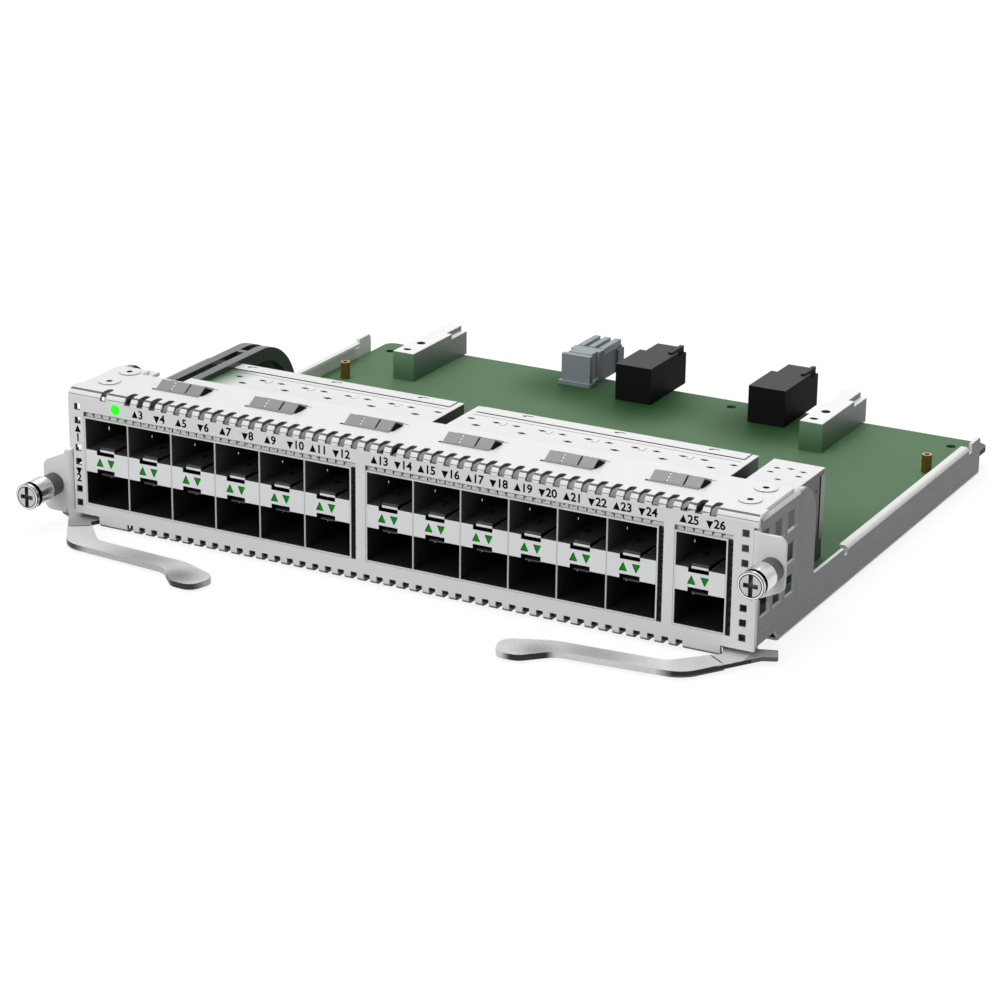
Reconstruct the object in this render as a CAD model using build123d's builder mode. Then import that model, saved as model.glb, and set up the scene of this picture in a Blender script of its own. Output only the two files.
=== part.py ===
from build123d import *
import math
import os

os.makedirs("parts", exist_ok=True)

# The frame: X to the right, Y into the card from the panel's face, Z up from the underside.

# Folded sheet of the tray and the front panel
sheet = 1.0
bend_radius = 1.5          # outside radius of the tray's bends
top_bend_radius = 2.3      # outside radius over the panel's top edge
wall_set_in = 0.05         # the tray is this much narrower each side than the panel
face_gap = 0.2             # the tray's front edges stop this far behind the panel

# Front panel
panel_width = 209.0
panel_height = 39.7
top_flange_depth = 24.3
bottom_flange_depth = 9.0
flange_side_step = 0.85    # how far the top flange's sides are set in behind the bend
flange_step_start = 6.0

# Slots over the top bend and notches over the bottom bend
slot_width = 1.95
slot_pitch = 4.016
slot_count = 45
slot_first = 19.72         # from the panel's left edge to the first of the row
lone_slot = 11.62          # the one left of the status lens
slot_drop = 2.25           # how far a slot runs down the face
slot_reach = 4.9           # how far a slot runs over the flange
notch_first = 19.55
notch_count = 43
notch_rise = 2.5
notch_reach = 3.5

# Square vents beside the port windows
vent_side = 1.95
left_vent_inset = 2.95     # from the panel's side edge to the vents' centre line
right_vent_inset = 3.4
vent_base = 6.45
vent_step = 4.03
left_vent_rows = (0, 1, 3, 4, 6, 7)
right_vent_rows = (0, 1, 2, 5, 6, 7)

# Bossed fixings of the top flange, and the notch in its rear edge over the light pipe
boss_inset = 6.95
boss_rows = (10.2, 20.2)
boss_radius = 3.1
boss_rise = 0.25
boss_hole_radius = 0.9
pipe_notch = (10.95, 24.85)  # from the panel's left edge to the notch's two sides
pipe_notch_depth = 4.0

# Tray
tray_depth = 165.0
tall_wall_depth = 38.0
tall_wall_corner = 10.8
low_wall_height = 11.6
flange_start = 62.0
flange_end_inset = 9.5     # from the tray's rear edge
side_flange_width = 2.6
relief_width = 2.4
relief_depth = 2.2
hump_rise = 0.5
hump_length = 6.5
joggle_depth = 10.2        # length of the raised front strip that lies on the panel's flange
rear_lip_reach = 5.0
rear_lip_radius = 3.6
rear_lip_set_in = 4.0

# Vents in the tall part of the side walls
wall_vent_length = 6.3
wall_vent_height = 5.7
wall_vent_first = 6.0
wall_vent_pitch = 8.1
wall_vent_columns = 3
wall_vent_base = 14.05
wall_vent_rise = 8.95
wall_vent_rows = 3

# Top tabs that carry the panel's flange
tab_width = 12.4
tab_start = 3.0
tab_end = 27.0

# Ears for the thumbscrews
ear_reach = 8.2
ear_forward = 1.5          # how far the ears stand before the panel's face
ear_outer_height = 14.2
ear_slope = 4.2
ear_corner = 2.4
right_ear_top = 35.9
left_ear_bottom = 3.2
ear_relief = 1.2
ear_edge_gap = 0.2         # between the ear's bend and the panel's edge
screw_inset = 3.55         # from the ear's outer edge to the screw's axis
right_screw_height = 27.1
left_screw_height = 11.15

# Circuit board
standoff_height = 3.7
board_thickness = 1.6
board_gap = 0.3            # between the board and the tray's walls
board_front = 1.6
board_overhang = 11.3      # how far the board stands out behind the tray
board_corner = 3.0
board_hole_radius = 1.5
board_hole_rows = ((-97.85, 8.3), (21.85, 5.9), (94.15, 7.6))
standoff_radius = 2.6

# Port cages
port_pitch = 14.25
cage_sheet = 0.4
cage_side_room = 0.5
cage_depth = 63.1
cage_height = 25.8
first_cage = 5.1           # from the panel's left edge to the left cage
cage_spacing = 4.5
wide_columns = 6
separator_height = 6.45
lower_port_height = 9.5
latch_notch_start = 3.75
latch_notch_width = 5.8
latch_notch_drop = 1.2
latch_notch_reach = 12.0
tongue_width = 4.6
tongue_rise = 0.85
tongue_tip = 1.2
triangle_up = 4.8          # centres of the windows from the column's left edge
triangle_down = 8.5
triangle_side = 1.85
triangle_rise = 1.95
triangle_height = 3.2      # centre of the windows over the separator's underside
light_bar = 2.0
connector_front = 48.0
nose_depth = 6.0
nose_height = 5.2
nose_margin = 0.9
card_slot_height = 1.4
card_slot_margin = 1.7
card_slot_depth = 5.0

# Sprung gaskets between the cages and the panel's windows
gasket_thickness = 1.3
gasket_web = 0.35
gasket_depth = 3.0
finger_pitch = 2.8
finger_gap = 0.7
window_gap = 0.1
window_margin = 1.45       # the window's room over and to the right of a cage

# EMI spring clips on the top flange
clip_count = 6
clip_pitch = 30.3
clip_first = 28.95         # from the panel's left edge to the first clip's centre
clip_length = 14.1
clip_front = 11.5
clip_ridge = 14.5
clip_back = 18.0
clip_rise = 2.0
clip_sheet = 0.35
clip_gap = 0.5

# Status lens and its light pipe
lens_from_edge = 15.7
lens_height = 35.74
lens_radius = 1.5
lens_proud = 0.4
pipe_bar_width = 3.0
pipe_bar_gap = 2.7
pipe_thickness = 1.6
pipe_front = 3.0
pipe_rise_start = 6.0
pipe_rise_end = 10.0
arch_start = 74.0
arch_radius = 19.0
arch_thickness = 4.0
bridge_ends = ((14.0, 20.0), (68.5, 70.5), (79.0, 82.0))

# Guide blocks
guide_width = 7.35
guide_height = 9.2
guide_setback = 33.1       # from the board's rear edge to the guides' fronts
guide_length = 34.8
left_guide = -78.9
right_guide = 59.4
guide_bore_radius = 2.3
guide_bore_depth = 22.0
guide_ledge_width = 2.0
guide_ledge_drop = 1.7
guide_ledge_length = 10.0
guide_holes = ((11.3, 1.25, 2.2), (3.4, 0.8, 2.2))
guide_edge = 0.15

# Backplane connectors: each place is its X, and its front's distance from the board's rear edge
power_place = (-29.5, 10.8)
power_size = (9.95, 22.7, 9.9)
power_shoulder = 1.7
power_side_groove = (1.9, 6.6)
power_side_depth = 1.0
power_rear_rim = 0.8
data_places = ((-6.55, 17.1), (38.0, 16.7))
data_size = (12.0, 25.8, 11.6)
contact_slots = 5
contact_slot_width = 0.9
contact_slot_depth = 6.0
contact_wall = 1.1

# Brass posts and board screws
post_half_spacing = 95.85
right_post_setback = 32.8  # from the board's rear edge
left_post_setback = 40.3
post_height = 5.4
post_radius = 1.5
post_bore = 0.8
screw_row = 48.0
board_screw_radius = 1.25
board_screw_head_radius = 1.9
board_screw_head = 1.4

# Rivets through the panel's bottom flange
rivet_count = 5
rivet_span = 160.0
rivet_radius = 1.2
rivet_row = 6.2
rivet_head_radius = 2.0
rivet_head = 0.5

# Thumbscrews
knob_radius = 3.7
knob_front = 13.2          # both from the ear's front
knob_back = 5.2
rim_length = 1.0
groove_length = 1.3
groove_depth = 0.4
knob_wall = 0.43
screw_stroke = 3.5
ferrule_radius = 3.2
ferrule_wall = 0.6
ferrule_lip = 0.4
ferrule_tail = 0.8
shank_radius = 1.5
shank_gap = 0.3
shank_end = 2.5
ring_thickness = 0.6
ring_gap = 0.15
screw_head_radius = 2.85
screw_head_gap = 0.12
recess_width = 1.2
recess_long = 5.8
recess_short = 4.0
recess_depth = 1.4

# Ejector levers
lever_thickness = 1.7
lever_base = 0.5
lever_step = 0.3           # the root's underside is this much higher
root_drop = 0.2            # and its top this much lower than the bar's
lever_notch_depth = 17.3   # how deep the tray's corner is cut away for the lever
lever_notch_height = 4.1
lever_notch_slope = 3.7
lever_notch_width = 18.5
cutout_width = 9.25
cutout_height = 3.2
pivot_inset = 5.5          # from the panel's side edge
pivot_depth = 5.2
pin_radius = 1.5
pin_gap = 0.05
pin_head_radius = 2.6
pin_head = 0.4
bracket_thickness = 1.0
bracket_gap = 0.25
bracket_width = 11.0
bracket_end = 29.0
bracket_front = 1.6
bracket_side_gap = 0.7     # clear of the tray's bend

# Worked out from the sizes above
panel_half = panel_width / 2
tray_half = panel_half - wall_set_in
tray_inner = tray_half - sheet
tray_front = sheet + face_gap
tray_top = panel_height - sheet
board_bottom = sheet + standoff_height
board_top = board_bottom + board_thickness
board_end = tray_depth + board_overhang
guide_front = board_end - guide_setback
flange_end = tray_depth - flange_end_inset
cage_top = board_top + cage_height
separator_bottom = board_top + cage_sheet + lower_port_height
separator_top = separator_bottom + separator_height
wide_width = wide_columns * port_pitch + cage_side_room
narrow_width = port_pitch + cage_side_room
left_cage = -panel_half + first_cage
middle_cage = left_cage + wide_width + cage_spacing
right_cage = middle_cage + wide_width + cage_spacing
cages = (("left", left_cage, wide_columns), ("middle", middle_cage, wide_columns), ("right", right_cage, 1))
far = 400.0                # longer than any piece, for cuts that run right through


def finish(part, name):
    """Label a finished piece and write its file."""
    part.label = name
    export_step(part, "parts/" + name + ".step")


def front_plane(depth=0.0):
    """An upright plane at this depth behind the panel's face, X across and Z up."""
    return Plane.XZ.offset(-depth)


def side_plane(x=0.0):
    """A plane across the card at this X, with Y across and Z up."""
    return Plane.YZ.offset(x)


def column_left(cage_left, index):
    """Left edge of a port column."""
    return cage_left + cage_side_room / 2 + index * port_pitch


def cage_width(columns):
    return columns * port_pitch + cage_side_room


# Front panel: a folded sheet, its windows, slots, notches and vents
def box_cut(low, high):
    """Cut a box between two corners from the part in hand."""
    size = [b - a for a, b in zip(low, high)]
    middle = [(a + b) / 2 for a, b in zip(low, high)]
    with Locations(tuple(middle)):
        Box(*size, mode=Mode.SUBTRACT)


with BuildPart() as front_panel:
    with BuildSketch(side_plane(-panel_half)):
        with BuildLine():
            FilletPolyline(
                (top_flange_depth, panel_height), (0, panel_height), (0, 0), (bottom_flange_depth, 0),
                radius=[top_bend_radius, bend_radius],
            )
            offset(amount=-sheet, side=Side.LEFT)
        make_face()
    extrude(amount=panel_width)

    # the flange's sides are set in behind the bend, so that the tray's tabs show
    for side in (-1, 1):
        edge = side * panel_half
        inner = edge - side * flange_side_step
        box_cut(
            (min(edge, inner) - (side < 0), flange_step_start, panel_height - 2 * sheet),
            (max(edge, inner) + (side > 0), top_flange_depth + sheet, panel_height + sheet),
        )

    # port windows
    with BuildSketch(front_plane(-sheet)):
        for name, left, columns in cages:
            low_x = left - window_gap
            high_x = left + cage_width(columns) + window_margin
            low_z = board_top - window_gap
            high_z = cage_top + window_margin
            with Locations(((low_x + high_x) / 2, (low_z + high_z) / 2)):
                Rectangle(high_x - low_x, high_z - low_z)
    extrude(amount=-3 * sheet, mode=Mode.SUBTRACT)

    # slots over the top bend, round at their rear ends
    slot_places = [lone_slot] + [slot_first + slot_pitch * index for index in range(slot_count)]
    with BuildSketch(Plane.XY.offset(panel_height - slot_drop)):
        for place in slot_places:
            x = place - panel_half
            straight = slot_reach - slot_width / 2
            with Locations((x, (straight - sheet) / 2)):
                Rectangle(slot_width, straight + sheet)
            with Locations((x, straight)):
                Circle(slot_width / 2)
    extrude(amount=slot_drop + sheet, mode=Mode.SUBTRACT)

    # notches over the bottom bend
    with BuildSketch(Plane.XY.offset(-sheet)):
        for index in range(notch_count):
            x = notch_first + slot_pitch * index - panel_half
            with Locations((x, (notch_reach - sheet) / 2)):
                Rectangle(slot_width, notch_reach + sheet)
    extrude(amount=sheet + notch_rise, mode=Mode.SUBTRACT)

    # square vents, the status lens and the screws' bosses
    with BuildSketch(front_plane(-sheet)):
        vent_columns = ((-1, left_vent_inset, left_vent_rows), (1, right_vent_inset, right_vent_rows))
        for side, inset, rows in vent_columns:
            for row in rows:
                with Locations((side * (panel_half - inset), vent_base + vent_step * row)):
                    Rectangle(vent_side, vent_side)
        with Locations((lens_from_edge - panel_half, lens_height)):
            Circle(lens_radius)
    extrude(amount=-3 * sheet, mode=Mode.SUBTRACT)
    bosses = [(side * (panel_half - boss_inset), row) for side in (-1, 1) for row in boss_rows]
    with BuildSketch(Plane.XY.offset(panel_height - sheet / 2)):
        with Locations(*bosses):
            Circle(boss_radius)
    extrude(amount=sheet / 2 + boss_rise)
    with BuildSketch(Plane.XY.offset(panel_height - 2 * sheet)):
        with Locations(*bosses):
            Circle(boss_hole_radius)
    extrude(amount=3 * sheet, mode=Mode.SUBTRACT)
    box_cut(
        (pipe_notch[0] - panel_half, top_flange_depth - pipe_notch_depth, panel_height - 2 * sheet),
        (pipe_notch[1] - panel_half, top_flange_depth + sheet, panel_height + sheet),
    )

    # room for the ears, which are bent out of the tray's walls
    ear_rows = ((-1, left_ear_bottom, left_ear_bottom + ear_outer_height + ear_slope),
                (1, right_ear_top - ear_outer_height - ear_slope, right_ear_top))
    for side, low_z, high_z in ear_rows:
        edge = side * (tray_inner - ear_edge_gap)
        outer = side * (panel_half + sheet)
        box_cut(
            (min(edge, outer), -sheet, low_z - ear_relief / 2),
            (max(edge, outer), 2 * sheet, high_z + ear_relief / 2),
        )

    # the lower corners, cut away for the ejector levers
    for side in (-1, 1):
        outer = side * (panel_half + sheet)
        face_edge = side * (panel_half - cutout_width)
        flange_edge = side * (panel_half - lever_notch_width)
        box_cut(
            (min(face_edge, outer), -sheet, -sheet),
            (max(face_edge, outer), 2 * sheet, cutout_height),
        )
        box_cut(
            (min(flange_edge, outer), bend_radius, -sheet),
            (max(flange_edge, outer), bottom_flange_depth + sheet, cutout_height),
        )

    # rivet holes in the bottom flange
    rivets = [(-rivet_span / 2 + rivet_span / (rivet_count - 1) * k, rivet_row) for k in range(rivet_count)]
    with BuildSketch(Plane.XY.offset(-sheet)):
        with Locations(*rivets):
            Circle(rivet_radius)
    extrude(amount=3 * sheet, mode=Mode.SUBTRACT)

finish(front_panel.part, "front_panel")


# Tray: floor, side walls, ears, tabs, side flanges and rear lip, all one folded sheet
def ear_outline(side):
    """Corners of an ear's outline in X and Z: the right one slopes below, the left one above."""
    inner = tray_half - sheet
    outer = tray_half + ear_reach
    if side > 0:
        top = right_ear_top
        bottom = top - ear_outer_height
        return [(inner, top), (outer, top), (outer, bottom), (inner, bottom - ear_slope)]
    bottom = left_ear_bottom
    top = bottom + ear_outer_height
    return [(-inner, bottom), (-outer, bottom), (-outer, top), (-inner, top + ear_slope)]


low_top = low_wall_height
with BuildPart() as tray:
    with BuildSketch(front_plane(tray_front)):
        with BuildLine():
            FilletPolyline(
                (-tray_half, tray_top), (-tray_half, 0), (tray_half, 0), (tray_half, tray_top),
                radius=bend_radius,
            )
            offset(amount=-sheet, side=Side.LEFT)
        make_face()
    extrude(amount=-(tray_depth - tray_front))

    # side view of the walls: tall at the front with a round corner, low behind it
    with BuildSketch(side_plane(-panel_half - sheet)):
        with BuildLine():
            FilletPolyline(
                (tab_end, tray_top), (tall_wall_depth, tray_top), (tall_wall_depth, low_top),
                (flange_start - relief_width, low_top),
                (flange_start - relief_width, low_top - relief_depth),
                (flange_start, low_top - relief_depth), (flange_start, low_top - bend_radius),
                (flange_end, low_top - bend_radius), (flange_end, low_top - relief_depth),
                (flange_end + relief_width, low_top - relief_depth), (flange_end + relief_width, low_top),
                radius=[tall_wall_corner, 1.0, 0.3, 0.3, 0.3, 0.3, 0.3, 0.3, 0.3],
            )
            Polyline(
                (flange_end + relief_width, low_top), (flange_end + relief_width, low_top + hump_rise),
                (flange_end + relief_width + hump_length, low_top + hump_rise),
                (tray_depth, low_top - 2 * hump_rise), (tray_depth + sheet, low_top - 2 * hump_rise),
                (tray_depth + sheet, panel_height), (tab_end, panel_height), (tab_end, tray_top),
            )
        make_face()
    extrude(amount=panel_width + 2 * sheet, mode=Mode.SUBTRACT)

    # the floor's front strip makes way for the joggle
    floor_half = panel_half - lever_notch_width
    joggle_end = joggle_depth + 3 * sheet
    box_cut((-floor_half, 0, -sheet), (floor_half, joggle_end, 2 * sheet))
    with BuildSketch(side_plane(-floor_half)):
        with BuildLine():
            FilletPolyline(
                (bend_radius + face_gap, sheet), (joggle_depth, sheet),
                (joggle_depth + 2 * sheet, 0), (joggle_end + sheet, 0),
                radius=sheet,
            )
            offset(amount=sheet, side=Side.LEFT)
        make_face()
    extrude(amount=2 * floor_half)

    # rear lip, which the board's rear rests on
    with BuildSketch(side_plane(rear_lip_set_in - tray_half)):
        with BuildLine():
            FilletPolyline(
                (tray_depth - sheet, 0), (tray_depth + rear_lip_reach, 0),
                (tray_depth + rear_lip_reach, board_bottom),
                radius=rear_lip_radius,
            )
            offset(amount=sheet, side=Side.LEFT)
        make_face()
    extrude(amount=2 * (tray_half - rear_lip_set_in))

    for side in (-1, 1):
        wall_out = side * tray_half
        # inward side flange along the low wall
        with BuildSketch(front_plane(flange_start)):
            with BuildLine():
                FilletPolyline(
                    (wall_out, low_top - bend_radius - sheet), (wall_out, low_top),
                    (wall_out - side * side_flange_width, low_top),
                    radius=bend_radius - 0.3 * sheet,
                )
                offset(amount=sheet, side=Side.LEFT if side > 0 else Side.RIGHT)
            make_face()
        extrude(amount=-(flange_end - flange_start))

        # top tab under the panel's flange
        box_cut(
            (min(wall_out, wall_out - 2 * side), 0, tray_top - bend_radius - 0.5),
            (max(wall_out, wall_out - 2 * side), tab_end, tray_top + sheet),
        )
        with BuildSketch(front_plane(tab_start)):
            with BuildLine():
                FilletPolyline(
                    (wall_out, tray_top - bend_radius - sheet), (wall_out, tray_top),
                    (wall_out - side * tab_width, tray_top),
                    radius=bend_radius,
                )
                offset(amount=sheet, side=Side.LEFT if side > 0 else Side.RIGHT)
            make_face()
        extrude(amount=-(tab_end - tab_start))

        # the ear: the wall's front edge is cleared, then bent outwards
        outline = ear_outline(side)
        low_z = min(z for x, z in outline)
        high_z = max(z for x, z in outline)
        wall_in = side * tray_inner
        box_cut(
            (min(wall_out, wall_in) - 0.1, 0, low_z - ear_relief),
            (max(wall_out, wall_in) + 0.1, 3 * sheet, high_z + ear_relief),
        )
        with BuildSketch(Plane.XY.offset(low_z)):
            with BuildLine():
                FilletPolyline(
                    (wall_in, 3 * sheet), (wall_in, -ear_forward),
                    (side * (tray_half + ear_reach), -ear_forward),
                    radius=bend_radius,
                )
                offset(amount=sheet, side=Side.LEFT if side > 0 else Side.RIGHT)
            make_face()
        extrude(amount=high_z - low_z)

        # the ear's outline: what lies outside it is cut off
        with BuildSketch(front_plane(-ear_forward - sheet)):
            middle_x = side * (tray_half + ear_reach)
            with Locations((middle_x, (low_z + high_z) / 2)):
                Rectangle(2 * ear_reach - 2 * sheet, high_z - low_z + 2 * sheet)
            with BuildSketch(mode=Mode.PRIVATE) as ear_shape:
                with BuildLine():
                    Polyline(*outline, close=True)
                make_face()
                outer_corners = ear_shape.vertices().sort_by(Axis.X)[-2:] if side > 0 else (
                    ear_shape.vertices().sort_by(Axis.X)[:2])
                fillet(outer_corners, ear_corner)
            add(ear_shape.sketch, mode=Mode.SUBTRACT)
        extrude(amount=-(ear_forward + bend_radius + 2 * sheet), mode=Mode.SUBTRACT)

    # the ferrules' holes in the ears
    with BuildSketch(front_plane(-ear_forward - sheet)):
        ear_axis = tray_half + ear_reach - screw_inset
        with Locations((ear_axis, right_screw_height), (-ear_axis, left_screw_height)):
            Circle(ferrule_radius - ferrule_wall / 2)
    extrude(amount=-3 * sheet, mode=Mode.SUBTRACT)

    # vents through both tall walls
    with BuildSketch(side_plane(-panel_half - sheet)):
        for column in range(wall_vent_columns):
            for row in range(wall_vent_rows):
                place = (wall_vent_first + wall_vent_pitch * column, wall_vent_base + wall_vent_rise * row)
                with Locations(place):
                    Rectangle(wall_vent_length, wall_vent_height)
    extrude(amount=4 * sheet, mode=Mode.SUBTRACT)
    with BuildSketch(side_plane(panel_half + sheet)):
        for column in range(wall_vent_columns):
            for row in range(wall_vent_rows):
                place = (wall_vent_first + wall_vent_pitch * column, wall_vent_base + wall_vent_rise * row)
                with Locations(place):
                    Rectangle(wall_vent_length, wall_vent_height)
    extrude(amount=-4 * sheet, mode=Mode.SUBTRACT)

    # corners cut away for the ejector levers
    for side in (-1, 1):
        with BuildSketch(side_plane(side * (panel_half - lever_notch_width))):
            with BuildLine():
                slope_start = lever_notch_depth - lever_notch_slope
                Polyline(
                    (-3 * sheet, -sheet), (lever_notch_depth, -sheet), (lever_notch_depth, sheet / 2),
                    (slope_start, lever_notch_height), (-3 * sheet, lever_notch_height),
                    close=True,
                )
            make_face()
        extrude(amount=side * (lever_notch_width + sheet), mode=Mode.SUBTRACT)

    # holes for the panel's screws and rivets, and seats of the standoffs
    with BuildSketch(Plane.XY.offset(tray_top - 2 * sheet)):
        with Locations(*bosses):
            Circle(boss_hole_radius)
    extrude(amount=3 * sheet, mode=Mode.SUBTRACT)
    with BuildSketch(Plane.XY.offset(-sheet)):
        with Locations(*rivets):
            Circle(rivet_radius)
    extrude(amount=4 * sheet, mode=Mode.SUBTRACT)

finish(tray.part, "tray")


# Circuit board, its standoffs, posts and screws
screw_places = [
    (middle_cage - cage_spacing / 2, screw_row),
    (right_cage - cage_spacing / 2, screw_row),
]
post_places = [
    (-post_half_spacing, board_end - left_post_setback),
    (post_half_spacing, board_end - right_post_setback),
]

with BuildPart() as board:
    board_half = tray_inner - board_gap
    with BuildSketch(Plane.XY.offset(board_bottom)) as outline:
        with Locations((0, (board_front + board_end) / 2)):
            Rectangle(2 * board_half, board_end - board_front)
        fillet(outline.vertices().group_by(Axis.Y)[-1], board_corner)
        with Locations(*[(x, board_end - back) for x, back in board_hole_rows]):
            Circle(board_hole_radius, mode=Mode.SUBTRACT)
        with Locations(*screw_places, *post_places):
            Circle(board_screw_radius, mode=Mode.SUBTRACT)
    extrude(amount=board_thickness)
finish(board.part, "circuit_board")

with BuildPart() as standoffs:
    with BuildSketch(Plane.XY.offset(sheet)):
        with Locations(*screw_places, *post_places):
            RegularPolygon(standoff_radius, 6)
            Circle(board_screw_radius, mode=Mode.SUBTRACT)
    extrude(amount=standoff_height)
finish(standoffs.part, "board_standoffs")

with BuildPart() as screws:
    with BuildSketch(Plane.XY.offset(sheet)):
        with Locations(*screw_places):
            Circle(board_screw_radius)
    extrude(amount=standoff_height + board_thickness)
    with BuildSketch(Plane.XY.offset(board_top)):
        with Locations(*screw_places):
            Circle(board_screw_head_radius)
    extrude(amount=board_screw_head)
    with BuildSketch(Plane.XY.offset(board_top + board_screw_head / 2)):
        with Locations(*screw_places):
            RegularPolygon(board_screw_head_radius / 2, 6)
    extrude(amount=board_screw_head, mode=Mode.SUBTRACT)
finish(screws.part, "board_screws")

with BuildPart() as posts:
    with BuildSketch(Plane.XY.offset(sheet)):
        with Locations(*post_places):
            Circle(board_screw_radius)
    extrude(amount=standoff_height + board_thickness)
    with BuildSketch(Plane.XY.offset(board_top)):
        with Locations(*post_places):
            Circle(post_radius)
    extrude(amount=post_height)
    with BuildSketch(Plane.XY.offset(board_top + post_height / 2)):
        with Locations(*post_places):
            Circle(post_bore)
    extrude(amount=post_height, mode=Mode.SUBTRACT)
finish(posts.part, "brass_posts")

with BuildPart() as panel_rivets:
    with BuildSketch(Plane.XY.offset(0)):
        with Locations(*rivets):
            Circle(rivet_radius)
    extrude(amount=2 * sheet)
    with BuildSketch(Plane.XY.offset(2 * sheet)):
        with Locations(*rivets):
            Circle(rivet_head_radius)
    extrude(amount=rivet_head)
finish(panel_rivets.part, "panel_rivets")


# Port cages
def make_cage_shell(name, left, columns):
    """A stamped shell: roof, floor, sides and rear wall, open at the front."""
    width = cage_width(columns)
    middle = (left + width / 2, board_top + cage_height / 2)
    with BuildPart() as shell:
        with BuildSketch(front_plane()):
            with Locations(middle):
                Rectangle(width, cage_height)
                Rectangle(width - 2 * cage_sheet, cage_height - 2 * cage_sheet, mode=Mode.SUBTRACT)
        extrude(amount=-cage_depth)
        with BuildSketch(front_plane(cage_depth - cage_sheet)):
            with Locations(middle):
                Rectangle(width, cage_height)
        extrude(amount=-cage_sheet)
    finish(shell.part, name + "_cage")


def make_dividers(name, left, columns):
    """Upright sheets between neighbouring port columns."""
    with BuildPart() as dividers:
        with BuildSketch(front_plane()):
            for index in range(1, columns):
                with Locations((column_left(left, index), board_top + cage_height / 2)):
                    Rectangle(cage_sheet, cage_height - 2 * cage_sheet)
        extrude(amount=-(cage_depth - cage_sheet))
    finish(dividers.part, name + "_cage_dividers")


def triangle(centre, point_up):
    """A small upright triangle in the sketch in hand, resting or standing on its point."""
    height = separator_bottom + triangle_height
    sign = 1 if point_up else -1
    half = triangle_side / 2
    Polygon(
        (centre - half, height - sign * triangle_rise / 2),
        (centre + half, height - sign * triangle_rise / 2),
        (centre, height + sign * triangle_rise / 2),
        align=None,
    )


def make_separators(name, left, columns):
    """Channels between the upper and lower ports, each with two latch tongues and two windows."""
    with BuildPart() as separators:
        width = port_pitch - cage_sheet
        middle_z = (separator_bottom + separator_top) / 2
        for index in range(columns):
            edge = column_left(left, index)
            with BuildSketch(front_plane()):
                with Locations((edge + port_pitch / 2, middle_z)):
                    Rectangle(width, separator_height)
            extrude(amount=-connector_front)
            with BuildSketch(front_plane(cage_sheet)):
                with Locations((edge + port_pitch / 2, middle_z)):
                    Rectangle(width, separator_height - 2 * cage_sheet)
            extrude(amount=-connector_front, mode=Mode.SUBTRACT)
            low_x = edge + latch_notch_start
            high_x = low_x + latch_notch_width
            for sign, level in ((1, separator_top), (-1, separator_bottom)):
                face_cut = sorted((level - sign * latch_notch_drop, level + sign))
                box_cut((low_x, -1, face_cut[0]), (high_x, latch_notch_reach, face_cut[1]))
                under = level - sign * cage_sheet
                with BuildSketch(side_plane(low_x + (latch_notch_width - tongue_width) / 2)):
                    with BuildLine():
                        Polyline(
                            (latch_notch_reach + 1, level), (latch_notch_reach, level),
                            (tongue_tip, level + sign * tongue_rise),
                            (tongue_tip, level + sign * (tongue_rise - cage_sheet)),
                            (latch_notch_reach, under), (latch_notch_reach + 1, under),
                            close=True,
                        )
                    make_face()
                extrude(amount=tongue_width)
            with BuildSketch(front_plane()):
                triangle(edge + triangle_up, True)
                triangle(edge + triangle_down, False)
            extrude(amount=-cage_sheet, mode=Mode.SUBTRACT)
    finish(separators.part, name + "_port_separators")


def make_light_pipes(name, left, columns):
    """Clear bars that bring the port lights to the triangular windows."""
    with BuildPart() as pipes:
        for index in range(columns):
            edge = column_left(left, index)
            with BuildSketch(front_plane()):
                triangle(edge + triangle_up, True)
                triangle(edge + triangle_down, False)
            extrude(amount=-cage_sheet)
            with BuildSketch(front_plane(cage_sheet)):
                bar_z = separator_bottom + triangle_height
                with Locations((edge + triangle_up, bar_z), (edge + triangle_down, bar_z)):
                    Rectangle(light_bar, light_bar)
            extrude(amount=-(connector_front - cage_sheet))
    finish(pipes.part, name + "_light_pipes")


def make_port_connectors(name, left, columns):
    """Black blocks at the cage's rear: a nose with a card slot looks into each port."""
    floor = board_top + cage_sheet
    roof = cage_top - cage_sheet
    port_centres = ((floor + separator_bottom) / 2, (separator_top + roof) / 2)
    with BuildPart() as connectors:
        width = port_pitch - 2 * cage_sheet
        for index in range(columns):
            centre = column_left(left, index) + port_pitch / 2
            with BuildSketch(front_plane(connector_front)):
                with Locations((centre, (floor + roof) / 2)):
                    Rectangle(width, roof - floor)
            extrude(amount=-(cage_depth - cage_sheet - connector_front))
            ports = [(centre, height) for height in port_centres]
            with BuildSketch(front_plane(connector_front - nose_depth)):
                with Locations(*ports):
                    Rectangle(width - 2 * nose_margin, nose_height)
            extrude(amount=-nose_depth)
            with BuildSketch(front_plane(connector_front - nose_depth)):
                with Locations(*ports):
                    Rectangle(width - 2 * card_slot_margin, card_slot_height)
            extrude(amount=-card_slot_depth, mode=Mode.SUBTRACT)
    finish(connectors.part, name + "_port_connectors")


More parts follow.
